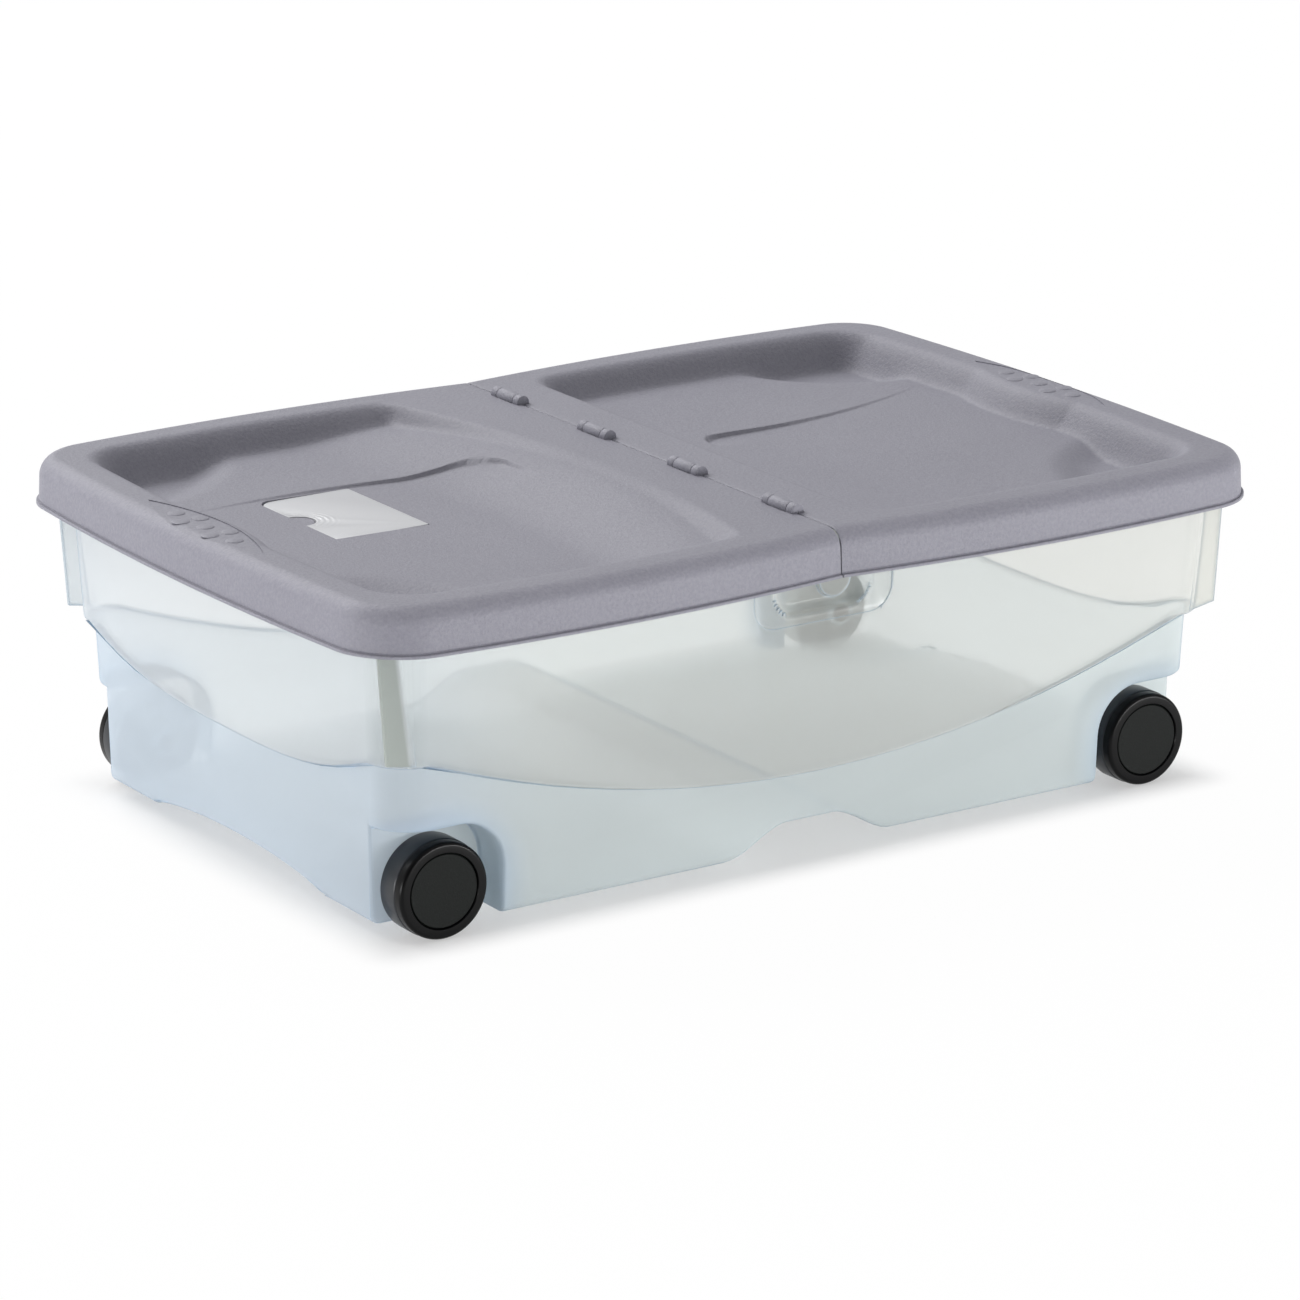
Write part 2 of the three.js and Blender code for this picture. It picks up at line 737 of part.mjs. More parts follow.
// Ears and pins on the left half
function lidLeft() {
  let body = mirrorX(lidShell(leftPanel, [labelSeat]));
  for (const y of knucklePlaces()) {
    body = body.subtract(box(-notchX, 1, y - earInner, y + earInner, landLow - 1, lidTop + 1));
    for (const y0 of [y + earInner, y - earOuter]) {
      const ear = knuckleBar(knuckleRadius, y0, y0 + earLength);
      body = body.add(ear).add(box(-notchX, 0, y0, y0 + earLength, landLow, lidTop));
    }
    body = body.add(knuckleBar(hingePinRadius, y - earInner - 1, y + earInner + 1));
  }
  return body;
}

// Label plate in its shallow seat, with a finger notch at its outer edge
function labelPlate() {
  const half = labelLength / 2;
  const halfWidth = labelWidth / 2;
  const shape = new THREE.Shape();
  shape.moveTo(-half, -halfWidth);
  shape.lineTo(half, -halfWidth);
  shape.lineTo(half, halfWidth);
  shape.lineTo(-half + labelCornerRadius, halfWidth);
  shape.quadraticCurveTo(-half, halfWidth, -half, halfWidth - labelCornerRadius);
  shape.lineTo(-half, labelNotchRadius);
  shape.absarc(-half, 0, labelNotchRadius, Math.PI / 2, -Math.PI / 2, true);
  const geometry = new THREE.ExtrudeGeometry(shape, { depth: labelThickness, bevelEnabled: false, curveSegments: 8 });
  geometry.translate(labelX, labelY, labelFloor + seatGap);
  return geometry;
}

// Wheel pieces for a corner at +Y, turned about the axle
function wheelBarrel() {
  const inner = wheelInnerY;
  const web = capSeatY - webThickness;
  const bore = pinRadius + 0.05;
  const rimInner = wheelRadius - treadWall;
  const hubRadius = pinRadius + hubWall;
  return lathe([
    [bore, inner], [hubRadius, inner], [hubRadius, web], [rimInner, web], [rimInner, inner],
    [wheelRadius - treadBevel, inner], [wheelRadius, inner + treadBevel], [wheelRadius, capSeatY - treadBevel],
    [wheelRadius - treadBevel, capSeatY], [bore, capSeatY], [bore, inner],
  ]);
}

function wheelCap() {
  const edge = wheelRadius - 0.4;
  const neck = edge - 1.6;
  const disc = wheelRadius - capRingWidth;
  const face = wheelOuterY - 0.5;
  return lathe([
    [0, capBackY], [neck, capBackY], [edge, capBackY + 1.6],
    [edge, wheelOuterY - capBevel], [edge - capBevel, wheelOuterY],
    [disc + capGroove, wheelOuterY], [disc + capGroove / 2, wheelOuterY - capGroove],
    [disc, face], [0, face],
  ]);
}

// Pin through the hub and the tub's boss, held behind the boss by its barb
function axlePin() {
  const barb = bossEndY - barbGap;
  const barbRadius = pinRadius + barbHold;
  const head = capSeatY - seatGap;
  return lathe([
    [0, barb - barbLength], [pinRadius * 0.8, barb - barbLength], [barbRadius, barb - 1], [barbRadius, barb],
    [pinRadius, barb], [pinRadius, head], [0, head],
  ], smallSides);
}

const underBedBox = new THREE.Group();

function addMesh(name, geometry, material, group = underBedBox) {
  const mesh = new THREE.Mesh(geometry, material);
  mesh.name = name;
  group.add(mesh);
}

addMesh('tub', geometryOf(tub()), clearPolypropylene);
addMesh('lid_left', geometryOf(lidLeft()), lidPolypropylene);
addMesh('lid_right', geometryOf(lidRight()), lidPolypropylene);
addMesh('label_plate', labelPlate(), labelPolypropylene);

for (const [name, x, side] of [
  ['front_left', -axleX, -1], ['front_right', axleX, -1], ['back_left', -axleX, 1], ['back_right', axleX, 1],
]) {
  const wheel = new THREE.Group();
  wheel.position.set(x, 0, wheelRadius);
  if (side < 0) wheel.rotation.z = Math.PI;
  addMesh(`wheel_barrel_${name}`, wheelBarrel(), blackPolypropylene, wheel);
  addMesh(`wheel_cap_${name}`, wheelCap(), capPolypropylene, wheel);
  addMesh(`axle_pin_${name}`, axlePin(), pinAcetal, wheel);
  underBedBox.add(wheel);
}

export default underBedBox;
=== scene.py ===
import math
from functools import partial

import bpy
from mathutils import Matrix, Vector
from mathutils.bvhtree import BVHTree


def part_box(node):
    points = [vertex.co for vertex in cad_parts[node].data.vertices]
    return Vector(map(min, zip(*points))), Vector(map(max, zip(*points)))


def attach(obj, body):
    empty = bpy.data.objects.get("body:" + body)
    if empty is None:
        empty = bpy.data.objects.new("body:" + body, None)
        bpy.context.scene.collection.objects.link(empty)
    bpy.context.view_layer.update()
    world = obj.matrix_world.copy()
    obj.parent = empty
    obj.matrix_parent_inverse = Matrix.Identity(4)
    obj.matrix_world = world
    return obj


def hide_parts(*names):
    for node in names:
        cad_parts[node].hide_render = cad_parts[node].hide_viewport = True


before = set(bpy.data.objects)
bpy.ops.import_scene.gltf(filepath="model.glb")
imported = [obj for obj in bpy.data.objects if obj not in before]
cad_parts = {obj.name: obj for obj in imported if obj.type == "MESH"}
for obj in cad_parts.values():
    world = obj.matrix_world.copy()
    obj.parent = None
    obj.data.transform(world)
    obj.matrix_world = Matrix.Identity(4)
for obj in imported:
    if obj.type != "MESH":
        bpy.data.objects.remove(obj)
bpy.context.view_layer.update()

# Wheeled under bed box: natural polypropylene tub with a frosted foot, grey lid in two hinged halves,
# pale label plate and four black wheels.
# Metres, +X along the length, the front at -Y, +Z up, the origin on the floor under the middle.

MM = 0.001
SKY = 0.58
DARK_SIDE = (-0.55, -0.83, 0.1)
SHADOW_REACH = 30 * MM

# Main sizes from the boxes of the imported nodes, and the small sizes of wheels and label
TUB_LOW, TUB_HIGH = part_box("tub")
LID_LOW, LID_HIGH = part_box("lid_right")
WHEEL_LOW, WHEEL_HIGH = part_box("wheel_barrel_back_right")
CAP_LOW, CAP_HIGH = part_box("wheel_cap_back_right")
CAP_RING = 6.2 * MM
CAP_DISC_RADIUS = (CAP_HIGH.x - CAP_LOW.x) / 2 - CAP_RING
PIN_LOW, PIN_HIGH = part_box("axle_pin_back_right")
TREAD_WALL = 3 * MM
TREAD_ROUND = 1.2 * MM
WEB_DEPTH = 2.6 * MM
HUB_RADIUS = 7.5 * MM
BORE_RADIUS = 4.05 * MM
CAP_GROOVE = 0.65 * MM
CAP_GROOVE_DEPTH = 1.3 * MM
CAP_DISC_RISE = 0.8 * MM
CAP_ROUND = 2.2 * MM
PIN_RADIUS = 4 * MM
BARB_LENGTH = 4 * MM
BARB_RADIUS = 5.4 * MM
BARB_TIP = 3.2 * MM
LABEL_GROW = Vector((1.7, 4.5, 0)) * MM
LABEL_LOW, LABEL_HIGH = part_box("label_plate")
LABEL_LOW, LABEL_HIGH = LABEL_LOW - LABEL_GROW, LABEL_HIGH + LABEL_GROW

# Tub
WALL = 2 * MM
RIM_WIDTH = 10.5 * MM
RIM_THICKNESS = 2.2 * MM
RIM_LIP = 3 * MM
RIM_GAP = 1 * MM
TUB_HALF_LENGTH = TUB_HIGH.x - RIM_WIDTH
TUB_HALF_WIDTH = TUB_HIGH.y - RIM_WIDTH
TUB_CORNER = 24 * MM
RIM_Z = TUB_HIGH.z
FOOT_Z = TUB_LOW.z
FOOT_ROUND = 5 * MM
UPPER_DRAFT = 0.045
LOWER_DRAFT = 0.05
END_DRAFT = 0.025
STEP_DEPTH = 4.5 * MM
STEP_ROUND = 1.9 * MM
STEP_FILLET = 1.1 * MM
STEP_INSET = TUB_CORNER + 7.1 * MM
STEP_CORNER_Z = 99 * MM
STEP_SIDE_Z = 51.5 * MM
STEP_END_Z = 77.5 * MM

# Arches and wheel pockets in the foot
ARCH_HALF = 50 * MM
ARCH_TOP_HALF = 22 * MM
ARCH_HEIGHT = 17 * MM
ARCH_FLARE = 6 * MM
END_ARCH_HALF = 95 * MM
END_ARCH_HEIGHT = 10 * MM
END_ARCH_REACH = 62 * MM
END_ARCH_TOP = 14 * MM
WHEEL_RADIUS = (WHEEL_HIGH.z - WHEEL_LOW.z) / 2
AXLE_X = (WHEEL_LOW.x + WHEEL_HIGH.x) / 2
POCKET_BACK_Y = WHEEL_LOW.y - 1.2 * MM
POCKET_ROOM = 8.5 * MM
POCKET_CORNER = 27 * MM
POCKET_TOP = 2 * WHEEL_RADIUS + POCKET_ROOM
POCKET_INNER_X = AXLE_X - WHEEL_RADIUS - POCKET_ROOM
BOSS_RADIUS = 8 * MM
BOSS_DEPTH = 9 * MM
PIN_HOLE = 4.25 * MM
POCKET_SHADE = (34 * MM, 56 * MM)

# Hand recess in each long wall
GRIP_HALF = 34 * MM
GRIP_TOP = RIM_Z - 4 * MM
GRIP_HEIGHT = 45 * MM
GRIP_DEPTH = 10 * MM
GRIP_SLOPE = 9 * MM
GRIP_CORNER = 14 * MM
GRIP_FRAME = 11 * MM
GRIP_SILL = 3 * MM
GRIP_FRAME_DEPTH = 1.6 * MM
GRIP_BOSS_RADIUS = 11 * MM
GRIP_BOSS_HEIGHT = 2.5 * MM
GRIP_BOSS_X = 12 * MM
GRIP_BOSS_RISE = 6.5 * MM

# Fin at each corner, and where its root meets the wall at its foot and at the rim
FIN_Y = TUB_HALF_WIDTH - 6 * MM
FIN_FOOT_Z = 102 * MM
FIN_THICKNESS = 2 * MM
FIN_CUT = 3 * MM
FIN_REACH = 2.5 * MM
FIN_TOP_IN = 6 * MM
FIN_TOP_GAP = 1.1 * MM
FIN_ROOT_FOOT = TUB_HALF_LENGTH - 20.5 * MM
FIN_ROOT_RIM = TUB_HALF_LENGTH - 9.5 * MM
FIN_LEAN = (FIN_ROOT_RIM - FIN_ROOT_FOOT) / (RIM_Z - FIN_FOOT_Z)

# Lid
LID_WALL = 2 * MM
LID_BOTTOM = LID_LOW.z
LID_SKIRT = 25.9 * MM
LID_TOP = LID_BOTTOM + LID_SKIRT
LID_ROUND = 11 * MM
SIDE_BOW = 8.8 * MM
END_BOW = 8.8 * MM
LID_HALF_LENGTH = LID_HIGH.x - END_BOW
LID_HALF_WIDTH = 195.8 * MM
LID_CORNER = 35 * MM
LIP_FLARE = 1.7 * MM
LIP_THICKNESS = 1.6 * MM
SKIRT_DRAFT = 0.6 * MM
GRIP_WALL_Y = TUB_HALF_WIDTH - (RIM_Z - LID_BOTTOM) * UPPER_DRAFT
SEAM_GAP = 0.4 * MM
SEAM_ROUND = 1.2 * MM
SEAM_FALL = 0.7 * MM
RIM_LAND = 27 * MM
HINGE_LAND = 34 * MM
RECESS_DEPTH = 15 * MM
RECESS_RUN = 20 * MM
RECESS_START = 5 * MM
RECESS_FALL = 1.5
RECESS_HINGE_CORNER = 18 * MM
RECESS_CORNER = 26 * MM
PANEL_DROP = 2.6 * MM
PANEL_FADE = 160 * MM
PANEL_STEP = 2.4 * MM
PANEL_RAMP = 60 * MM
STACK_DEPTH = 6.5 * MM
BACK_STACK = (97 * MM, 80 * MM)
FRONT_STACK = (84 * MM, 108 * MM)
STACK_INSET = 25 * MM
STACK_SLOPE = 28 * MM
OVAL_X = 278.8 * MM
OVAL_HALF_LENGTH = 63 * MM
OVAL_HALF_WIDTH = 12.6 * MM
OVAL_DEPTH = 0.5 * MM
OVAL_MARGIN = 6 * MM
OVAL_BUMP = 5 * MM
OVAL_RISE = 0.75 * MM
OVAL_FALL_START = 286 * MM

# The recess of each half: how far back its lower front panel reaches at its outer end, in the middle and
# at its hinge end, how far from the hinge it starts, the radius of its corner, between which places
# across its hinge side sinks away, and whether the recess ends in a ramp towards the hinge
LEFT_PANEL = {
    "hinge": 62 * MM, "outer": 70 * MM, "middle": 80 * MM, "inner": 66 * MM,
    "corner": 27 * MM, "sink": (50 * MM, 2 * MM), "ramp": True,
}
RIGHT_PANEL = {
    "hinge": 74 * MM, "outer": 82 * MM, "middle": 44 * MM, "inner": 52 * MM,
    "corner": 12 * MM, "sink": (47 * MM, 30 * MM), "ramp": False,
}
BOW_MIDDLE = -25 * MM
BOW_REACH = 130 * MM
BOW = 15 * MM
RAMP_WALL = 0.10
RAMP_WALL_RISE = 0.32
RAMP_WALL_RUN = 13 * MM
RAMP_RUN = 75 * MM

# Hinge
HINGE_Z = LID_TOP + 0.8 * MM
KNUCKLES = [y * MM for y in (-138.5, -46.2, 46.2, 138.5)]
KNUCKLE_RADIUS = 4.1 * MM
CLIP_HALF = 8.5 * MM
EAR_LENGTH = 5.5 * MM
HINGE_GAP = 0.4 * MM
HINGE_PIN = 2.3 * MM
HINGE_ROOM = 0.3 * MM

# Seat of the label plate and its finger notch
SEAT_GAP = 0.4 * MM
SEAT_FLOOR = LABEL_LOW.z - 0.3 * MM
NOTCH_FLOOR = LABEL_HIGH.z - 0.4 * MM
NOTCH_AT = Vector((LABEL_LOW.x + 1.5 * MM, (LABEL_LOW.y + LABEL_HIGH.y) / 2, 0))
NOTCH_RADIUS = 9.5 * MM
NOTCH_ROOM = 0.7 * MM


# Modelling tools

def take(piece):
    """Makes one object the selected and active one."""
    bpy.ops.object.select_all(action="DESELECT")
    piece.select_set(True)
    bpy.context.view_layer.objects.active = piece
    return piece


def edit(piece, *steps):
    """Runs edit mode steps on the whole of one object."""
    take(piece)
    bpy.ops.object.mode_set(mode="EDIT")
    bpy.ops.mesh.select_all(action="SELECT")
    for step in steps:
        step()
    bpy.ops.object.mode_set(mode="OBJECT")
    return piece


def tidy_normals(piece, merge=0.02 * MM):
    return edit(
        piece,
        lambda: bpy.ops.mesh.remove_doubles(threshold=merge),
        lambda: bpy.ops.mesh.normals_make_consistent(inside=False),
    )


def extruded(piece, move):
    """Carries a flat face along, which makes a solid of it."""
    edit(piece, lambda: bpy.ops.mesh.extrude_region_move(TRANSFORM_OT_translate={"value": move}))
    return tidy_normals(piece)


def select_where(piece, what, test):
    """Selects the faces, edges or vertices whose middle passes the test."""
    mesh = piece.data
    for part in (mesh.vertices, mesh.edges, mesh.polygons):
        part.foreach_set("select", [False] * len(part))
    points = mesh.vertices
    for part in getattr(mesh, {"FACE": "polygons", "EDGE": "edges", "VERT": "vertices"}[what]):
        if what == "VERT":
            middle = part.co
        else:
            middle = sum((points[i].co for i in part.vertices), Vector()) / len(part.vertices)
        part.select = bool(test(middle, part))


def shape_selected(piece, what, test, *steps):
    """Selects by place and runs edit mode steps on that."""
    take(piece)
    bpy.ops.object.mode_set(mode="EDIT")
    bpy.ops.mesh.select_mode(type=what)
    bpy.ops.object.mode_set(mode="OBJECT")
    select_where(piece, what, test)
    bpy.ops.object.mode_set(mode="EDIT")
    for step in steps:
        step()
    bpy.ops.mesh.select_mode(type="VERT")
    bpy.ops.object.mode_set(mode="OBJECT")
    return piece


def round_edges(piece, test, width, segments, **more):
    """Bevels the edges whose middle passes the test."""
    return shape_selected(
        piece, "EDGE", test,
        lambda: bpy.ops.mesh.bevel(offset=width, segments=segments, affect="EDGES", **more),
    )


def modify(piece, kind, **settings):
    """Adds a modifier with its settings and applies it."""
    take(piece)
    modifier = piece.modifiers.new(kind.title(), kind)
    for key, value in settings.items():
        setattr(modifier, key, value)
    bpy.ops.object.modifier_apply(modifier=modifier.name)
    return piece


def combine(piece, other, operation):
    """Cuts, joins or crosses one piece with another, which is used up."""
    modify(piece, "BOOLEAN", operation=operation, object=other, solver="MANIFOLD")
    bpy.data.objects.remove(other, do_unlink=True)
    return piece


def join(*pieces):
    take(pieces[0])
    for piece in pieces:
        piece.select_set(True)
    bpy.ops.object.join()
    return pieces[0]


def copy_of(piece, turn=None):
    take(piece)
    bpy.ops.object.duplicate()
    twin = bpy.context.object
    if turn:
        twin.data.transform(turn)
        if turn.determinant() < 0:
            edit(twin, lambda: bpy.ops.mesh.flip_normals())
    return twin


MIRROR_X = Matrix.Diagonal((-1, 1, 1, 1))
MIRROR_Y = Matrix.Diagonal((1, -1, 1, 1))
HALF_TURN = Matrix.Rotation(math.pi, 4, "Z")


def four_corners(piece):
    twins = [copy_of(piece, turn) for turn in (MIRROR_X, MIRROR_Y, HALF_TURN)]
    return join(piece, *twins)


def placed(piece):
    take(piece)
    bpy.ops.object.transform_apply(location=True, rotation=True, scale=True)
    return piece


def block(low, high):
    """A box between two corners."""
    low, high = Vector(low), Vector(high)
    bpy.ops.mesh.primitive_cube_add(size=1, location=(low + high) / 2)
    piece = bpy.context.object
    piece.scale = high - low
    return placed(piece)


def bar(radius, low, high, sides=48, radius_high=None):
    """A round bar between two points on a line along Y."""
    low, high = Vector(low), Vector(high)
    bpy.ops.mesh.primitive_cone_add(
        vertices=sides, radius1=radius, radius2=radius if radius_high is None else radius_high,
        depth=(high - low).length, location=(low + high) / 2, rotation=(-math.pi / 2, 0, 0),
    )
    return placed(bpy.context.object)


def axle_bar(radius, low_y, high_y, **more):
    """A round bar on the axle of the wheel at +X."""
    return bar(radius, (AXLE_X, low_y, WHEEL_RADIUS), (AXLE_X, high_y, WHEEL_RADIUS), **more)


def disc(radius, x, y, low_z, high_z, sides):
    """An upright round bar."""
    bpy.ops.mesh.primitive_cylinder_add(
        vertices=sides, radius=radius, depth=high_z - low_z, location=(x, y, (low_z + high_z) / 2),
    )
    return placed(bpy.context.object)


def sheet_over(columns, rows, place):
    """A grid whose crossing of column i and row j lies at place(columns[i], rows[j])."""
    bpy.ops.mesh.primitive_grid_add(x_subdivisions=len(columns) - 1, y_subdivisions=len(rows) - 1, size=2)
    piece = bpy.context.object
    for vertex in piece.data.vertices:
        i = round((vertex.co.x + 1) / 2 * (len(columns) - 1))
        j = round((vertex.co.y + 1) / 2 * (len(rows) - 1))
        vertex.co = place(columns[i], rows[j])
    return piece


def stops(*spans):
    """Even steps through spans (start, end, step), each stop once."""
    found = [spans[0][0]]
    for start, end, step in spans:
        count = max(1, round(abs(end - start) / step))
        found += [start + (end - start) * (k + 1) / count for k in range(count)]
    return found


def smooth(t):
    t = min(max(t, 0.0), 1.0)
    return t * t * (3 - 2 * t)


def open_edges_of(mesh):
    """Numbers of the edges that only one face uses."""
    uses = {}
    for face in mesh.polygons:
        for key in face.edge_keys:
            uses[key] = uses.get(key, 0) + 1
    return {edge.index for edge in mesh.edges if uses.get(edge.key, 0) == 1}


def close_openings(piece, *tests):
    """Fills openings with one face each, found by a test of the middles of their edges."""
    tidy_normals(piece)
    for test in tests:
        open_edges = open_edges_of(piece.data)
        shape_selected(
            piece, "EDGE", lambda m, e: e.index in open_edges and test(m),
            lambda: bpy.ops.mesh.edge_face_add(),
        )
    return tidy_normals(piece)


# Materials

def colour(hex_code):
    """The linear colour, with alpha, of an sRGB hex code."""
    values = [int(hex_code[i:i + 2], 16) / 255 for i in (1, 3, 5)]
    return [v / 12.92 if v <= 0.04045 else ((v + 0.055) / 1.055) ** 2.4 for v in values] + [1.0]


def node(tree, kind, settings=None, links=None):
    """Adds a node, sets its properties and inputs and links its inputs, also to a node's first output."""
    made = tree.nodes.new("ShaderNode" + kind)
    for key, value in (settings or {}).items():
        if isinstance(key, str) and hasattr(made, key):
            setattr(made, key, value)
        else:
            made.inputs[key].default_value = value
    for key, source in (links or {}).items():
        tree.links.new(getattr(source, "outputs", [source])[0], made.inputs[key])
    return made


def material(name, look):
    """A material with the shader of a look, which gets the adder of nodes and the Object coordinates."""
    made = bpy.data.materials.new(name)
    made.use_nodes = True
    made.node_tree.nodes.clear()
    add = partial(node, made.node_tree)
    add("OutputMaterial", None, {"Surface": look(add, add("TexCoord").outputs["Object"])})
    return made


SOFT_STEP = {"interpolation_type": "SMOOTHSTEP"}


def grained_lid(add, place):
    # Coloured polypropylene, injection moulded in a spark eroded mould: an even, fine matt grain that
    # breaks up the highlights. The real grain is about 0.3 mm, drawn at 2 mm to show.
    cloud = add("TexNoise", {"Scale": 1 / (70 * MM), "Detail": 3}, {"Vector": place})
    grain = add("TexNoise", {"Scale": 1 / (2 * MM), "Detail": 3, "Roughness": 0.7}, {"Vector": place})
    tone = add("Mix", {"data_type": "RGBA", 6: colour("#83828d"), 7: colour("#8a8994")}, {0: cloud})
    speckle = add("MapRange", {"From Min": 0.35, "From Max": 0.65, "To Max": 0.24}, {"Value": grain})
    tone = add("Mix", {"data_type": "RGBA", 7: colour("#acabb4")}, {0: speckle, 6: tone.outputs[2]})
    bump = add("Bump", {"Strength": 0.9, "Distance": 0.5 * MM}, {"Height": grain})
    return add(
        "BsdfPrincipled", {"Roughness": 0.55, "IOR": 1.49},
        {"Base Color": tone.outputs[2], "Normal": bump},
    )


def pale_label(add, place):
    # Natural white polypropylene plate, smooth, with faint moulded ripples round the finger notch
    notch = (NOTCH_AT.x, NOTCH_AT.y, LABEL_HIGH.z)
    away = add("VectorMath", {"operation": "DISTANCE", 1: notch}, {0: place}).outputs["Value"]
    rings = add("Math", {"operation": "MULTIPLY", 1: math.tau / (3.2 * MM)}, {0: away})
    wave = add("Math", {"operation": "SINE"}, {0: rings})
    near = add(
        "MapRange", {"From Min": 10 * MM, "From Max": 24 * MM, "To Min": 1.0, "To Max": 0.0},
        {"Value": away},
    )
    height = add("Math", {"operation": "MULTIPLY"}, {0: wave, 1: near})
    bump = add("Bump", {"Strength": 0.9, "Distance": 0.2 * MM}, {"Height": height})
    return add(
        "BsdfPrincipled", {"Base Color": colour("#d0d1d4"), "Roughness": 0.32, "IOR": 1.49},
        {"Normal": bump},
    )


def black_tread(add, place):
    # Black polypropylene from a polished mould: smooth and glossy, a little duller where it rolls
    wear = add("TexNoise", {"Scale": 1 / (9 * MM), "Detail": 4}, {"Vector": place})
    rough = add("MapRange", {"To Min": 0.3, "To Max": 0.42}, {"Value": wear})
    return add("BsdfPrincipled", {"Base Color": colour("#191d23"), "IOR": 1.49}, {"Roughness": rough})


def black_cap(add, place):
    # Black ABS, moulded: the ring is polished, the disc inside it is eroded to a fine, slightly green
    # matt texture
    parts = add("SeparateXYZ", None, {0: place})
    side = add("Math", {"operation": "ABSOLUTE"}, {0: parts.outputs["X"]})
    flat = add("CombineXYZ", None, {"X": side, "Z": parts.outputs["Z"]})
    axle = (AXLE_X, 0, WHEEL_RADIUS)
    radius = add("VectorMath", {"operation": "DISTANCE", 1: axle}, {0: flat})
    disc = add("Math", {"operation": "LESS_THAN", 1: CAP_DISC_RADIUS}, {0: radius.outputs["Value"]})
    grain = add("TexNoise", {"Scale": 1 / (0.8 * MM), "Detail": 2}, {"Vector": place})
    tone = add("Mix", {"data_type": "RGBA", 6: colour("#020302"), 7: colour("#0f1513")}, {0: grain})
    both = add("Mix", {"data_type": "RGBA", 6: colour("#030304")}, {0: disc, 7: tone.outputs[2]})
    depth = add("Math", {"operation": "MULTIPLY"}, {0: grain, 1: disc})
    bump = add("Bump", {"Strength": 0.6, "Distance": 0.2 * MM}, {"Height": depth})
    rough = add("MapRange", {"To Min": 0.3, "To Max": 0.55}, {"Value": disc})
    return add(
        "BsdfPrincipled", {"IOR": 1.53, "Specular IOR Level": 0.14},
        {"Base Color": both.outputs[2], "Roughness": rough, "Normal": bump},
    )


def black_pin(add, place):
    # Acetal rod: smooth, waxy black with faint turning marks
    marks = add("TexNoise", {"Scale": 1 / (5 * MM), "Detail": 2}, {"Vector": place})
    rough = add("MapRange", {"To Min": 0.26, "To Max": 0.4}, {"Value": marks})
    return add("BsdfPrincipled", {"Base Color": colour("#1b1c1e"), "IOR": 1.48}, {"Roughness": rough})


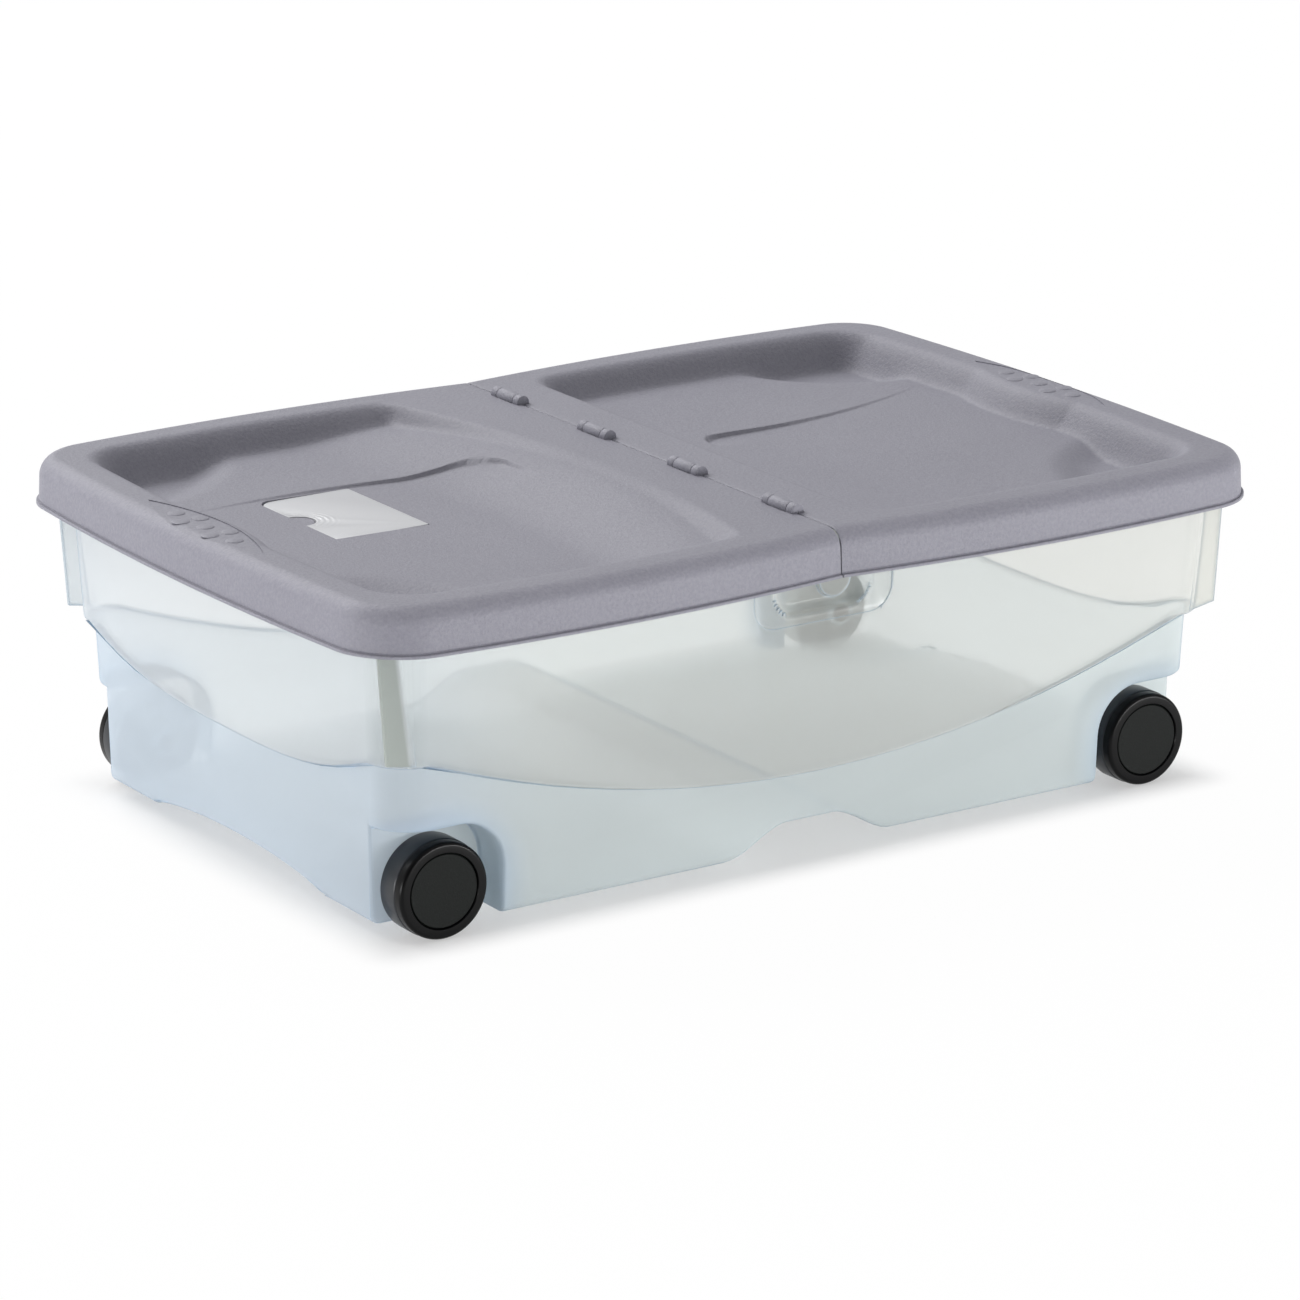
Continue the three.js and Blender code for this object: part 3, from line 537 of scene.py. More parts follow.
def natural_tub(add, place):
    # Natural polypropylene, injection moulded: milky and see-through, polished above the step and frosted
    # below it. The outer skin carries the milk, so that each wall counts once. What is seen along its
    # length and every moulded edge look denser and bluer, as thick natural polypropylene does. The band
    # round the wheel pockets is painted shade for the dark wheel and pocket seen through the wall, partly
    # the thicker pocket wall; the darker fins are painted shade, most on the front left one; and the end
    # at -X is painted a cooler milk for cool light there.
    clear = add("Attribute", {"attribute_name": "clear"}).outputs["Fac"]
    skin = add("Attribute", {"attribute_name": "skin"}).outputs["Fac"]
    facing = add("LayerWeight", {"Blend": 0.5}).outputs["Facing"]
    steep = add("Math", {"operation": "POWER", 1: 1.5}, {0: facing})
    rounded = add("Bevel", {"samples": 4, "Radius": 2.6 * MM})
    flat = add("NewGeometry").outputs["Normal"]
    bend = add("VectorMath", {"operation": "DOT_PRODUCT"}, {0: rounded, 1: flat})
    edge = add(
        "MapRange", {"From Min": 0.995, "From Max": 0.86, "To Max": 0.75},
        {"Value": bend.outputs["Value"]},
    )

    frost = add("MapRange", {"To Min": 1.0, "To Max": 0.0}, {"Value": clear})
    ledge = add("Math", {"operation": "MULTIPLY"}, {0: clear, 1: frost})
    ledge = add("MapRange", {"From Min": 0.13, "From Max": 0.25, "To Max": 0.6}, {"Value": ledge})
    edge = add("Math", {"operation": "MAXIMUM"}, {0: edge, 1: ledge})

    side = add("VectorMath", {"operation": "ABSOLUTE"}, {0: place})
    parts = add("SeparateXYZ", None, {0: side}).outputs
    upright = add("CombineXYZ", None, {"X": parts["X"], "Z": parts["Z"]})
    # Painted shade: a denser, bluer band round each wheel pocket on the long walls, for the dark wheel and
    # the shade in the pocket seen through the wall, partly the thicker pocket wall.
    axle = (AXLE_X, 0, WHEEL_RADIUS)
    away = add("VectorMath", {"operation": "DISTANCE", 1: axle}, {0: upright}).outputs["Value"]
    outer = add("Math", {"operation": "GREATER_THAN", 1: POCKET_BACK_Y}, {0: parts["Y"]})
    outer = add("Math", {"operation": "MULTIPLY", 1: 0.4}, {0: outer})
    ends = {"From Min": POCKET_SHADE[0], "From Max": POCKET_SHADE[1], "To Max": 0.0}
    pocket = add("MapRange", {**SOFT_STEP, **ends}, {"Value": away, "To Min": outer})
    # Painted shade: the fins get a denser, greyer tint for their shaded faces, in full on the front left
    # fin and a fifth of it on the others, partly the denser look of a thick plate.
    off = add("Math", {"operation": "SUBTRACT", 1: FIN_Y}, {0: parts["Y"]})
    off = add("Math", {"operation": "ABSOLUTE"}, {0: off})
    fin = add("Math", {"operation": "LESS_THAN", 1: 1.1 * MM}, {0: off})
    root = add("VectorMath", {"operation": "DOT_PRODUCT", 1: (1, 0, -FIN_LEAN)}, {0: side})
    start = FIN_ROOT_FOOT - FIN_LEAN * FIN_FOOT_Z + 1 * MM
    fin = add(
        "MapRange", {"From Min": start, "From Max": start + 4 * MM},
        {"Value": root.outputs["Value"], "To Max": fin},
    )
    corner = add("VectorMath", {"operation": "DOT_PRODUCT", 1: (-1, -1, 0)}, {0: place})
    corner = add(
        "MapRange", {"From Min": 0.3, "From Max": 0.4, "To Min": 0.2, "To Max": 1.0},
        {"Value": corner.outputs["Value"]},
    )
    fin = add("Math", {"operation": "MULTIPLY"}, {0: fin, 1: corner})

    dense = []
    for low, high in ((0.62, 1.0), (0.34, 1.0)):
        part = add("MapRange", {"To Min": low, "To Max": high}, {"Value": steep})
        dense.append(part)
    level = add("Mix", None, {0: clear, 2: dense[0], 3: dense[1]})
    for more in (edge, pocket, fin):
        level = add("Math", {"operation": "ADD", "use_clamp": True}, {0: level, 1: more})
    share = add("MapRange", {"To Min": 0.1, "To Max": 1.0}, {"Value": skin})
    level = add("Math", {"operation": "MULTIPLY"}, {0: level, 1: share})

    # Painted cool light: the milk turns to a cooler, bluer copy towards the end at -X.
    along = add("SeparateXYZ", None, {0: place}).outputs["X"]
    ends = {"From Min": -TUB_HALF_LENGTH, "From Max": -0.6 * TUB_HALF_LENGTH, "To Min": 1.0, "To Max": 0.0}
    painted_cool_end = add("MapRange", {**SOFT_STEP, **ends}, {"Value": along})
    milk = []
    for frosted, polished in (("#eff6f6", "#f9f8f2"), ("#dfe9f3", "#e9edf1")):
        part = add("Mix", {"data_type": "RGBA", 6: colour(frosted), 7: colour(polished)}, {0: clear})
        milk.append(part.outputs[2])
    tone = add("Mix", {"data_type": "RGBA"}, {0: painted_cool_end, 6: milk[0], 7: milk[1]}).outputs[2]
    grazing = add("MapRange", {"From Min": 0.72, "From Max": 1.0, "To Max": 0.6}, {"Value": facing})
    # The pocket tint is painted shade, and so is the fin tint.
    for tint, amount in (("#9fbad4", pocket), ("#a9c0d4", grazing), ("#8fa9bf", edge), ("#c0c6c2", fin)):
        tone = add("Mix", {"data_type": "RGBA", 7: colour(tint)}, {0: amount, 6: tone}).outputs[2]

    grain = add("TexNoise", {"Scale": 1 / (1.2 * MM), "Detail": 2}, {"Vector": place})
    height = add("Math", {"operation": "MULTIPLY"}, {0: grain, 1: frost})
    bump = add("Bump", {"Strength": 0.4, "Distance": 0.12 * MM}, {"Height": height})
    rough = add("MapRange", {"To Min": 0.5, "To Max": 0.18}, {"Value": clear})
    shell = add(
        "BsdfPrincipled", {"IOR": 1.49}, {"Base Color": tone, "Roughness": rough, "Normal": bump},
    )
    glow = add("BsdfTranslucent", None, {"Color": tone})
    body = add("MixShader", {0: 0.45}, {1: shell, 2: glow})
    through = add("BsdfTransparent", {"Color": colour("#fcfdfd")})
    return add("MixShader", None, {0: level, 1: through, 2: body})


# Tub

def stations():
    """Places round a rounded rectangle: how far along each straight, and which way is out."""
    corner_steps, side_steps, end_steps = 10, 26, 18
    places = []
    for from_x, from_y, start in ((1, 1, 0.0), (-1, 1, 0.5), (-1, -1, 1.0), (1, -1, 1.5)):
        for k in range(corner_steps + 1):
            angle = (start + 0.5 * k / corner_steps) * math.pi
            places.append((from_x, from_y, math.cos(angle), math.sin(angle)))
        count = side_steps if start in (0.0, 1.0) else end_steps
        for k in range(1, count):
            along = 1 - 2 * k / count
            if start in (0.0, 1.0):
                places.append((from_x * along, from_y, 0.0, from_y))
            else:
                places.append((from_x, from_y * along, from_x, 0.0))
    return places + places[:1]


def on_outline(station, half_length, half_width, radius):
    along_x, along_y, out_x, out_y = station
    return (
        along_x * (half_length - radius) + radius * out_x,
        along_y * (half_width - radius) + radius * out_y,
    )


def step_height(station):
    along_x, along_y, out_x, out_y = station
    if abs(along_x) < 1:
        return STEP_SIDE_Z + (STEP_CORNER_Z - STEP_SIDE_Z) * along_x ** 2
    if abs(along_y) < 1:
        return STEP_END_Z + (STEP_CORNER_Z - STEP_END_Z) * abs(along_y) ** 3
    return STEP_CORNER_Z


def wall_point(station, z, lower, inset):
    """A point of the tub's outer face, on the lower wall or the upper one."""
    drop = RIM_Z - z
    if lower:
        drop = RIM_Z - STEP_CORNER_Z
    back_x = back_y = drop * UPPER_DRAFT + inset
    if lower:
        back_x += STEP_DEPTH + (STEP_CORNER_Z - z) * END_DRAFT
        back_y += STEP_DEPTH + (STEP_CORNER_Z - z) * LOWER_DRAFT
    radius = TUB_CORNER - min(inset, TUB_CORNER / 2)
    return *on_outline(station, TUB_HALF_LENGTH - back_x, TUB_HALF_WIDTH - back_y, radius), z


def tub_levels(inset, top):
    """Levels of the tub's face from the foot up, each a function of the station."""
    def rounding(degrees, radius):
        angles = [math.radians(d) for d in degrees]
        return [(radius * (1 - math.cos(a)), radius * (1 - math.sin(a))) for a in angles]

    levels = []
    for back, rise in rounding((90, 68, 45, 22, 0), FOOT_ROUND):
        levels.append(lambda s, b=back, z=FOOT_Z + inset + rise: wall_point(s, z, True, inset + b))
    for back, drop in rounding((0, 30, 60, 90), STEP_FILLET):
        rise = inset + STEP_FILLET - drop
        levels.append(lambda s, b=back, r=rise: wall_point(s, step_height(s) + r, True, inset - b))
    for back, rise in rounding((90, 60, 30, 0), STEP_ROUND):
        rise += inset + STEP_FILLET
        levels.append(lambda s, b=back, r=rise: wall_point(s, step_height(s) + r, False, inset + b))
    levels.append(lambda s: wall_point(s, top, False, inset))
    return levels


def tub_body(inset, top):
    body = sheet_over(stations(), tub_levels(inset, top), lambda s, level: Vector(level(s)))
    return close_openings(body, lambda m: m.z < STEP_SIDE_Z, lambda m: m.z > STEP_CORNER_Z)


def along_y(outline, y0, y1):
    """An outline of (x, z) points carried along Y."""
    bpy.ops.mesh.primitive_circle_add(vertices=len(outline), fill_type="NGON")
    piece = bpy.context.object
    for vertex, (x, z) in zip(piece.data.vertices, outline):
        vertex.co = (x, y0, z)
    return extruded(piece, (0, y1 - y0, 0))


def wheel_pocket(grow):
    """Pocket over one wheel, open to the side and the end."""
    inner, top, radius = POCKET_INNER_X - grow, POCKET_TOP + grow, POCKET_CORNER + grow
    far = TUB_HIGH.x + 30 * MM
    outline = [(inner, -grow), (far, -grow), (far, top)]
    for k in range(13):
        angle = math.pi / 2 * (1 + k / 12)
        outline.append((inner + radius + radius * math.cos(angle), top - radius + radius * math.sin(angle)))
    return along_y(outline, POCKET_BACK_Y - grow, TUB_HIGH.y + 30 * MM)


def bezier(start, control, end, steps):
    found = []
    for k in range(1, steps + 1):
        t = k / steps
        found.append(tuple(
            (1 - t) ** 2 * a + 2 * t * (1 - t) * b + t ** 2 * c for a, b, c in zip(start, control, end)
        ))
    return found


def foot_tunnel(grow):
    top, foot = FOOT_Z + ARCH_HEIGHT + grow, ARCH_HALF + grow
    crown = ARCH_TOP_HALF + grow
    middle, side = FOOT_Z + ARCH_HEIGHT / 2, (foot + crown) / 2
    half = [(foot + ARCH_FLARE, -grow), (foot + ARCH_FLARE, FOOT_Z)]
    half += bezier(half[-1], (foot, FOOT_Z), (side, middle), 6)
    half += bezier(half[-1], (crown, top), (crown - ARCH_FLARE, top), 6)
    outline = half + [(-x, z) for x, z in reversed(half)]
    return along_y(outline, -TUB_HIGH.y - 30 * MM, TUB_HIGH.y + 30 * MM)


def end_arch(grow):
    """Shallow arch under the end wall at +X, fading inwards."""
    half = END_ARCH_HALF + grow
    end_x, start_x = TUB_HIGH.x + 5 * MM, TUB_HALF_LENGTH - END_ARCH_REACH - grow
    top_x = TUB_HALF_LENGTH - END_ARCH_TOP

    def place(k, corner):
        angle = math.pi * k / 16
        height = FOOT_Z + END_ARCH_HEIGHT * math.sin(angle) ** 1.3 + grow
        fade = min(height, FOOT_Z + grow) - 0.5 * MM
        x, z = [(start_x, -grow), (end_x, -grow), (end_x, height), (top_x, height), (start_x, fade)][corner]
        return Vector((x, -half * math.cos(angle), z))

    arch = sheet_over(list(range(17)), [0, 1, 2, 3, 4, 0], place)
    return close_openings(arch, lambda m: m.y < 0, lambda m: m.y > 0)


def grip_recess(grow):
    """Hand recess in the wall at +Y with a shallow frame round it."""
    wall_y = GRIP_WALL_Y
    low = GRIP_TOP - GRIP_HEIGHT
    far = TUB_HIGH.y + 20 * MM

    def cutter(half, bottom, back, round_back, slope):
        piece = block((-half, back, bottom), (half, far, GRIP_TOP))
        round_edges(piece, lambda m, e: m.z < bottom + MM and abs(m.x) > half - MM, GRIP_CORNER, 8)
        if slope:
            for vertex in piece.data.vertices:
                if vertex.co.y < back + MM:
                    vertex.co.x *= (half - slope) / half
                    vertex.co.z += (GRIP_TOP - vertex.co.z) / (GRIP_TOP - bottom) * GRIP_SILL
                else:
                    vertex.co.x *= 1 + slope / half * (far - wall_y) / (wall_y - back)
        round_edges(piece, lambda m, e: m.y < back + 0.1 * MM, round_back, 4)
        return piece

    hollow = cutter(GRIP_HALF + grow, low - grow, wall_y - GRIP_DEPTH - grow, 4 * MM, GRIP_SLOPE)
    frame_cut = cutter(
        GRIP_HALF + GRIP_FRAME + grow, low - GRIP_SILL - grow, wall_y - GRIP_FRAME_DEPTH - grow,
        0.5 * MM, 0,
    )
    return combine(hollow, frame_cut, "UNION")


def corner_fin():
    reach, shoulder, top = TUB_HALF_LENGTH, LID_TOP - LID_ROUND, RIM_Z - FIN_TOP_GAP
    outline = [
        (FIN_ROOT_FOOT, FIN_FOOT_Z), (reach - FIN_CUT, FIN_FOOT_Z + FIN_CUT),
        (reach + FIN_REACH, shoulder), (reach - FIN_TOP_IN, top), (FIN_ROOT_RIM, top),
    ]
    return along_y(outline, FIN_Y - FIN_THICKNESS / 2, FIN_Y + FIN_THICKNESS / 2)


def rim_flange():
    """Rolled rim that follows the inside of the lid's shoulder and ends in a short lip."""
    across = LID_ROUND - LID_WALL - RIM_GAP
    centre = RIM_WIDTH - across
    shoulder = LID_TOP - LID_ROUND
    profile = []
    for thinner in (0, RIM_THICKNESS):
        arc = [(centre + across - thinner, shoulder - RIM_LIP)]
        rise = RIM_Z - shoulder - thinner
        for k in range(9):
            angle = math.pi / 2 * k / 8
            reach = centre + (across - thinner) * math.cos(angle)
            arc.append((reach, shoulder + rise * math.sin(angle)))
        arc.append((-WALL, RIM_Z - thinner))
        profile += arc if not thinner else arc[::-1]
    profile.append(profile[0])

    def place(station, spot):
        reach, z = spot
        x, y = on_outline(station, TUB_HALF_LENGTH + reach, TUB_HALF_WIDTH + reach, TUB_CORNER + reach)
        return Vector((x, y, z))

    return tidy_normals(sheet_over(stations(), profile, place))


def cut_all(body, grow):
    pocket = four_corners(wheel_pocket(grow))
    combine(body, pocket, "DIFFERENCE")
    combine(body, foot_tunnel(grow), "DIFFERENCE")
    arch = end_arch(grow)
    combine(body, join(arch, copy_of(arch, MIRROR_X)), "DIFFERENCE")
    grip = grip_recess(grow)
    combine(body, join(grip, copy_of(grip, MIRROR_Y)), "DIFFERENCE")
    return body


def crease_edges(mesh, least):
    """Numbers of the edges at which the surface turns by more than this angle."""
    turn = {}
    for face in mesh.polygons:
        for key in face.edge_keys:
            turn.setdefault(key, []).append(face.normal)
    limit = math.cos(least)
    found = set()
    for edge in mesh.edges:
        normals = turn[edge.key]
        if len(normals) == 2 and normals[0].dot(normals[1]) < limit:
            found.add(edge.index)
    return found


def soften(piece, width, segments, leave):
    """Rounds the creases that the cuts left, apart from those at places to leave."""
    edit(
        piece,
        lambda: bpy.ops.mesh.remove_doubles(threshold=0.3 * MM),
        lambda: bpy.ops.mesh.dissolve_limited(angle_limit=math.radians(0.2)),
    )
    shape_selected(
        piece, "FACE", lambda m, f: f.normal.z < -0.999 and m.z < FOOT_Z + 2 * WALL,
        lambda: bpy.ops.mesh.quads_convert_to_tris(),
    )
    creases = crease_edges(piece.data, math.radians(30))
    return round_edges(
        piece, lambda m, e: e.index in creases and not leave(m),
        width, segments, clamp_overlap=False,
    )


def is_thin_edge(m):
    """True on the rim and round the shallow frame of the hand recess, which are too thin to round."""
    low = GRIP_TOP - GRIP_HEIGHT
    frame_side = abs(m.x) > GRIP_HALF + 5 * MM or m.z < low - MM
    near_grip = m.z > low - 6 * MM and abs(m.x) < GRIP_HALF + 16 * MM
    return m.z > RIM_Z - 5 * MM or (near_grip and frame_side)


def tub():
    outside = cut_all(tub_body(0.0, RIM_Z), 0.0)
    soften(outside, 1.8 * MM, 3, is_thin_edge)
    inside = cut_all(tub_body(WALL, RIM_Z + 5 * MM), WALL)
    soften(inside, 1.2 * MM, 3, is_thin_edge)
    corners = [v.co for v in inside.data.vertices]
    hollow = BVHTree.FromPolygons(corners, [f.vertices for f in inside.data.polygons])
    combine(outside, inside, "DIFFERENCE")
    boss_end = POCKET_BACK_Y - WALL - BOSS_DEPTH
    bosses = axle_bar(BOSS_RADIUS, boss_end, POCKET_BACK_Y - WALL / 2)
    recess_y = GRIP_WALL_Y - GRIP_DEPTH
    boss_z = GRIP_TOP - GRIP_HEIGHT + GRIP_BOSS_RISE + GRIP_BOSS_RADIUS
    thumb = bar(
        GRIP_BOSS_RADIUS, (-GRIP_BOSS_X, recess_y - WALL / 2, boss_z),
        (-GRIP_BOSS_X, recess_y + GRIP_BOSS_HEIGHT, boss_z), radius_high=GRIP_BOSS_RADIUS - 0.6 * MM,
    )
    thumbs = join(thumb, copy_of(thumb, HALF_TURN))
    for added in (rim_flange(), four_corners(corner_fin()), four_corners(bosses), thumbs):
        combine(outside, added, "UNION")
    holes = axle_bar(PIN_HOLE, boss_end - MM, POCKET_BACK_Y + MM)
    combine(outside, four_corners(holes), "DIFFERENCE")
    tidy_normals(outside)
    clear = outside.data.attributes.new("clear", "FLOAT", "POINT")
    skin = outside.data.attributes.new("skin", "FLOAT", "POINT")
    for vertex, spot, cover in zip(outside.data.vertices, clear.data, skin.data):
        cover.value = 1.0 if hollow.find_nearest(vertex.co)[3] > 0.05 * MM else 0.0
        x, y, z = (abs(v) for v in vertex.co)
        along_x, along_y = x / (TUB_HALF_LENGTH - STEP_INSET), y / (TUB_HALF_WIDTH - STEP_INSET)
        side = STEP_SIDE_Z + (STEP_CORNER_Z - STEP_SIDE_Z) * min(along_x, 1) ** 2
        end = STEP_END_Z + (STEP_CORNER_Z - STEP_END_Z) * min(along_y, 1) ** 3
        rise = (z - WALL * (1 - cover.value) - min(side, end)) / (STEP_FILLET + STEP_ROUND)
        spot.value = smooth((rise - 0.3) / 0.4)
    return outside


# Lid

def bowed(x, y):
    """Swells each half's outline, so that the long sides meet in a cusp at the hinge."""
    along = min(abs(x) / LID_HALF_LENGTH, 1)
    across = min(abs(y) / LID_HALF_WIDTH, 1)
    side_scale = 1 + SIDE_BOW * 4 * along * (1 - along) / LID_HALF_WIDTH
    end_scale = 1 + END_BOW * (1 - across ** 2) / LID_HALF_LENGTH
    return x * (1 + (end_scale - 1) * along), y * side_scale


def rim_profile():
    """Stops (distance along, reach from the corner's centre, height) down the outer edge of the lid."""
    wide = LID_CORNER - LIP_FLARE - SKIRT_DRAFT
    shoulder = LID_TOP - LID_ROUND
    spots = []
    for k in range(15):
        angle = math.pi / 2 * k / 14
        spots.append((wide - LID_ROUND * (1 - math.sin(angle)), shoulder + LID_ROUND * math.cos(angle)))
    flare_z = LID_BOTTOM + LIP_THICKNESS
    for t in (0.35, 0.7, 1.0):
        spots.append((wide + SKIRT_DRAFT * t, shoulder + (flare_z + MM - shoulder) * t))
    skirt = wide + SKIRT_DRAFT
    spots += [
        (skirt - 0.4 * MM, flare_z + 0.5 * MM), (skirt - 0.1 * MM, flare_z + 0.1 * MM),
        (LID_CORNER - 0.4 * MM, flare_z), (LID_CORNER, flare_z - 0.4 * MM), (LID_CORNER, LID_BOTTOM),
    ]
    found, total = [], 0.0
    for k, (reach, z) in enumerate(spots):
        if k:
            total += math.dist(spots[k - 1], (reach, z))
        found.append((total, reach, z))
    return found


RIM_PROFILE = rim_profile()
RIM_START = RIM_PROFILE[0][1]


def along_rim(distance):
    """Reach and height at a distance down the outer edge."""
    for (s0, r0, z0), (s1, r1, z1) in zip(RIM_PROFILE, RIM_PROFILE[1:]):
        if distance <= s1 + 1e-9:
            t = (distance - s0) / (s1 - s0)
            return r0 + (r1 - r0) * t, z0 + (z1 - z0) * t
    return RIM_PROFILE[-1][1:]


def oval_half(y):
    """Half the width of the grip oval at this place across, below zero beyond its ends."""
    bend = OVAL_HALF_LENGTH ** 2 / (2 * OVAL_HALF_WIDTH) + OVAL_HALF_WIDTH / 2
    return math.sqrt(max(bend ** 2 - y ** 2, 0.0)) - bend + OVAL_HALF_WIDTH


def inside_recess(x, y, hinge_side):
    """Distance inside the outline of the recess, whose outer end bends inwards round the grip oval."""
    end = LID_HALF_LENGTH - RIM_LAND
    middle, half_x, half_y = (HINGE_LAND + end) / 2, (end - HINGE_LAND) / 2, LID_HALF_WIDTH - RIM_LAND
    if x > middle:
        x += max(oval_half(y) - OVAL_MARGIN, 0.0)
    elif not hinge_side:
        x = middle
    radius = RECESS_CORNER if x > middle else RECESS_HINGE_CORNER
    a, b = abs(x - middle) - half_x + radius, abs(y) - half_y + radius
    return radius - min(max(a, b), 0.0) - math.hypot(max(a, 0.0), max(b, 0.0))


def hinge_ramp(x, y):
    """Share of the recess's depth at a place near the hinge: a bowed low wall, then a long ramp."""
    off_middle = (y - BOW_MIDDLE) / BOW_REACH
    into = x - HINGE_LAND - BOW * off_middle ** 2
    wall = RAMP_WALL + RAMP_WALL_RISE * off_middle ** 2
    return wall * smooth(into / RAMP_WALL_RUN + 0.3) + (1 - wall) * smooth(into / RAMP_RUN)


def panel_back(x, panel):
    """How far back the lower panel reaches at this distance from the hinge."""
    start, end = panel["hinge"] + 24 * MM, LID_HALF_LENGTH - 40 * MM
    t = min(max((end - x) / (end - start), 0.0), 1.0)
    return (1 - t) ** 2 * panel["outer"] + 2 * t * (1 - t) * panel["middle"] + t ** 2 * panel["inner"]


def panel_side(y, panel):
    """How near the hinge the lower panel starts at this place across."""
    return panel["hinge"] + 12 * MM * min(max((42 * MM - y) / (196 * MM), 0.0), 1.0) ** 2


def panel_depth(x, y, panel):
    """Depth of the lower front panel, whose hinge side turns from a step into a long ramp."""
    corner, (crisp_y, sunk_y) = panel["corner"], panel["sink"]
    from_back, from_hinge = panel_back(x, panel) - y, x - panel_side(y, panel)
    if from_back < corner and from_hinge < corner:
        inside = corner - math.hypot(corner - from_back, corner - from_hinge)
    else:
        inside = min(from_back, from_hinge)
    step = smooth(inside / PANEL_STEP + 0.5)
    ramp = smooth(from_back / PANEL_STEP + 0.5) * smooth(from_hinge / PANEL_RAMP + 0.3)
    sunk = smooth((crisp_y - y) / (crisp_y - sunk_y))
    fade = min(max((LID_HALF_LENGTH - 40 * MM - x) / PANEL_FADE, 0.0), 1.0)
    return PANEL_DROP * fade * (step + (ramp - step) * sunk)


def stack_depth(x, y):
    """Depth of the round pockets in the outer corners of the recess, the front ones longer across."""
    length, width = FRONT_STACK if y < 0 else BACK_STACK
    a = (x - LID_HALF_LENGTH + STACK_INSET) / length
    b = (abs(y) - LID_HALF_WIDTH + STACK_INSET) / width
    inside = (1 - math.hypot(a, b)) * (length + width) / 2
    return STACK_DEPTH * smooth(inside / STACK_SLOPE)


def sink_oval(half):
    """Lets the grip oval into the end rim of the half at +X, a lens between two arcs."""
    bpy.ops.mesh.primitive_circle_add(vertices=96, fill_type="NGON")
    lens = bpy.context.object
    for vertex in lens.data.vertices:
        y = OVAL_HALF_LENGTH * vertex.co.y
        vertex.co = (OVAL_X + math.copysign(oval_half(y), vertex.co.x), y, LID_TOP + 2 * MM)
    extruded(lens, (0, 0, -10 * MM))
    floor = copy_of(half, Matrix.Translation((0, 0, -OVAL_DEPTH)))
    there, back = (Matrix.Translation((x, 0, 0)) for x in (OVAL_X, -OVAL_X))
    combine(floor, copy_of(lens, there @ Matrix.Diagonal((1.01, 1.002, 1, 1)) @ back), "INTERSECT")
    combine(half, lens, "DIFFERENCE")
    return combine(half, floor, "UNION")


def grip_bumps():
    """Seven low domes in the grip oval of the half at +X."""
    domes = []
    for bump_x, bump_y in ((0, -32), (0, 0), (0, 32), (-6, -16), (-6, 16), (6, -16), (6, 16)):
        x, y = OVAL_X + bump_x * MM, bump_y * MM
        fall = max(x - OVAL_FALL_START, 0.0) ** 2 / (2 * LID_ROUND)
        bpy.ops.mesh.primitive_uv_sphere_add(
            segments=28, ring_count=14, radius=OVAL_BUMP, location=(x, y, LID_TOP - OVAL_DEPTH - fall),
        )
        dome = bpy.context.object
        dome.scale = (1, 1, OVAL_RISE / OVAL_BUMP)
        domes.append(placed(dome))
    return join(*domes)


def lid_height(x, y, panel):
    """Height of the lid's top face before the roundover."""
    inside = inside_recess(x, y, not panel["ramp"])
    z = LID_TOP
    if inside > -RECESS_START:
        deep = stack_depth(x, y)
        depth = RECESS_DEPTH + deep
        run = RECESS_RUN + deep / 2
        share = smooth(max((inside + RECESS_START) / run, 0.0) ** RECESS_FALL)
        z -= depth * share * (hinge_ramp(x, y) if panel["ramp"] else 1)
        z -= panel_depth(x, y, panel) * smooth((inside - 9 * MM) / (3 * MM))
    if x < SEAM_GAP + SEAM_ROUND:
        z -= SEAM_FALL * (1 - (x - SEAM_GAP) / SEAM_ROUND) ** 2
    return z


def lid_point(p, q, panel):
    """Point of the lid's outer face. Beyond the start of the edge, p and q count along it."""
    edge_x, edge_y = LID_HALF_LENGTH - LID_CORNER, LID_HALF_WIDTH - LID_CORNER
    sign = -1 if q < 0 else 1
    if abs(q) < 140 * MM:
        row = panel["inner"]
        pull = smooth(1 - abs(q - row) / (58 * MM)) if abs(q - row) > 8 * MM else 1.0
        q += (panel_back(p, panel) - row) * min(pull * 1.02, 1.0)
    if HINGE_LAND + 14 * MM < p < panel["hinge"] + 50 * MM:
        column = panel["hinge"]
        pull = 1 - (p - column) / (48 * MM) if p > column else (p - HINGE_LAND - 14 * MM) / (14 * MM)
        p += (panel_side(q, panel) - column) * smooth(pull)
    a, b = p - edge_x, abs(q) - edge_y
    reach, out_x, out_y = max(a, b), 1.0 if a > 0 else 0.0, 1.0 if b > 0 else 0.0
    if a > 0 and b > 0:
        away = math.hypot(a, b)
        out_x, out_y = a / away, b / away
    z = None
    if reach > RIM_START:
        real, z = along_rim(reach - RIM_START)
    else:
        real = reach
    x = edge_x + real * out_x if a > 0 else p
    y = sign * (edge_y + real * out_y) if b > 0 else q
    top = lid_height(x, y, panel)
    if z is None:
        z = top
    elif z > LID_TOP - LID_ROUND:
        z += (top - LID_TOP) * smooth((z - LID_TOP + LID_ROUND) / LID_ROUND)
    x, y = bowed(x, y)
    return Vector((x, y, z))


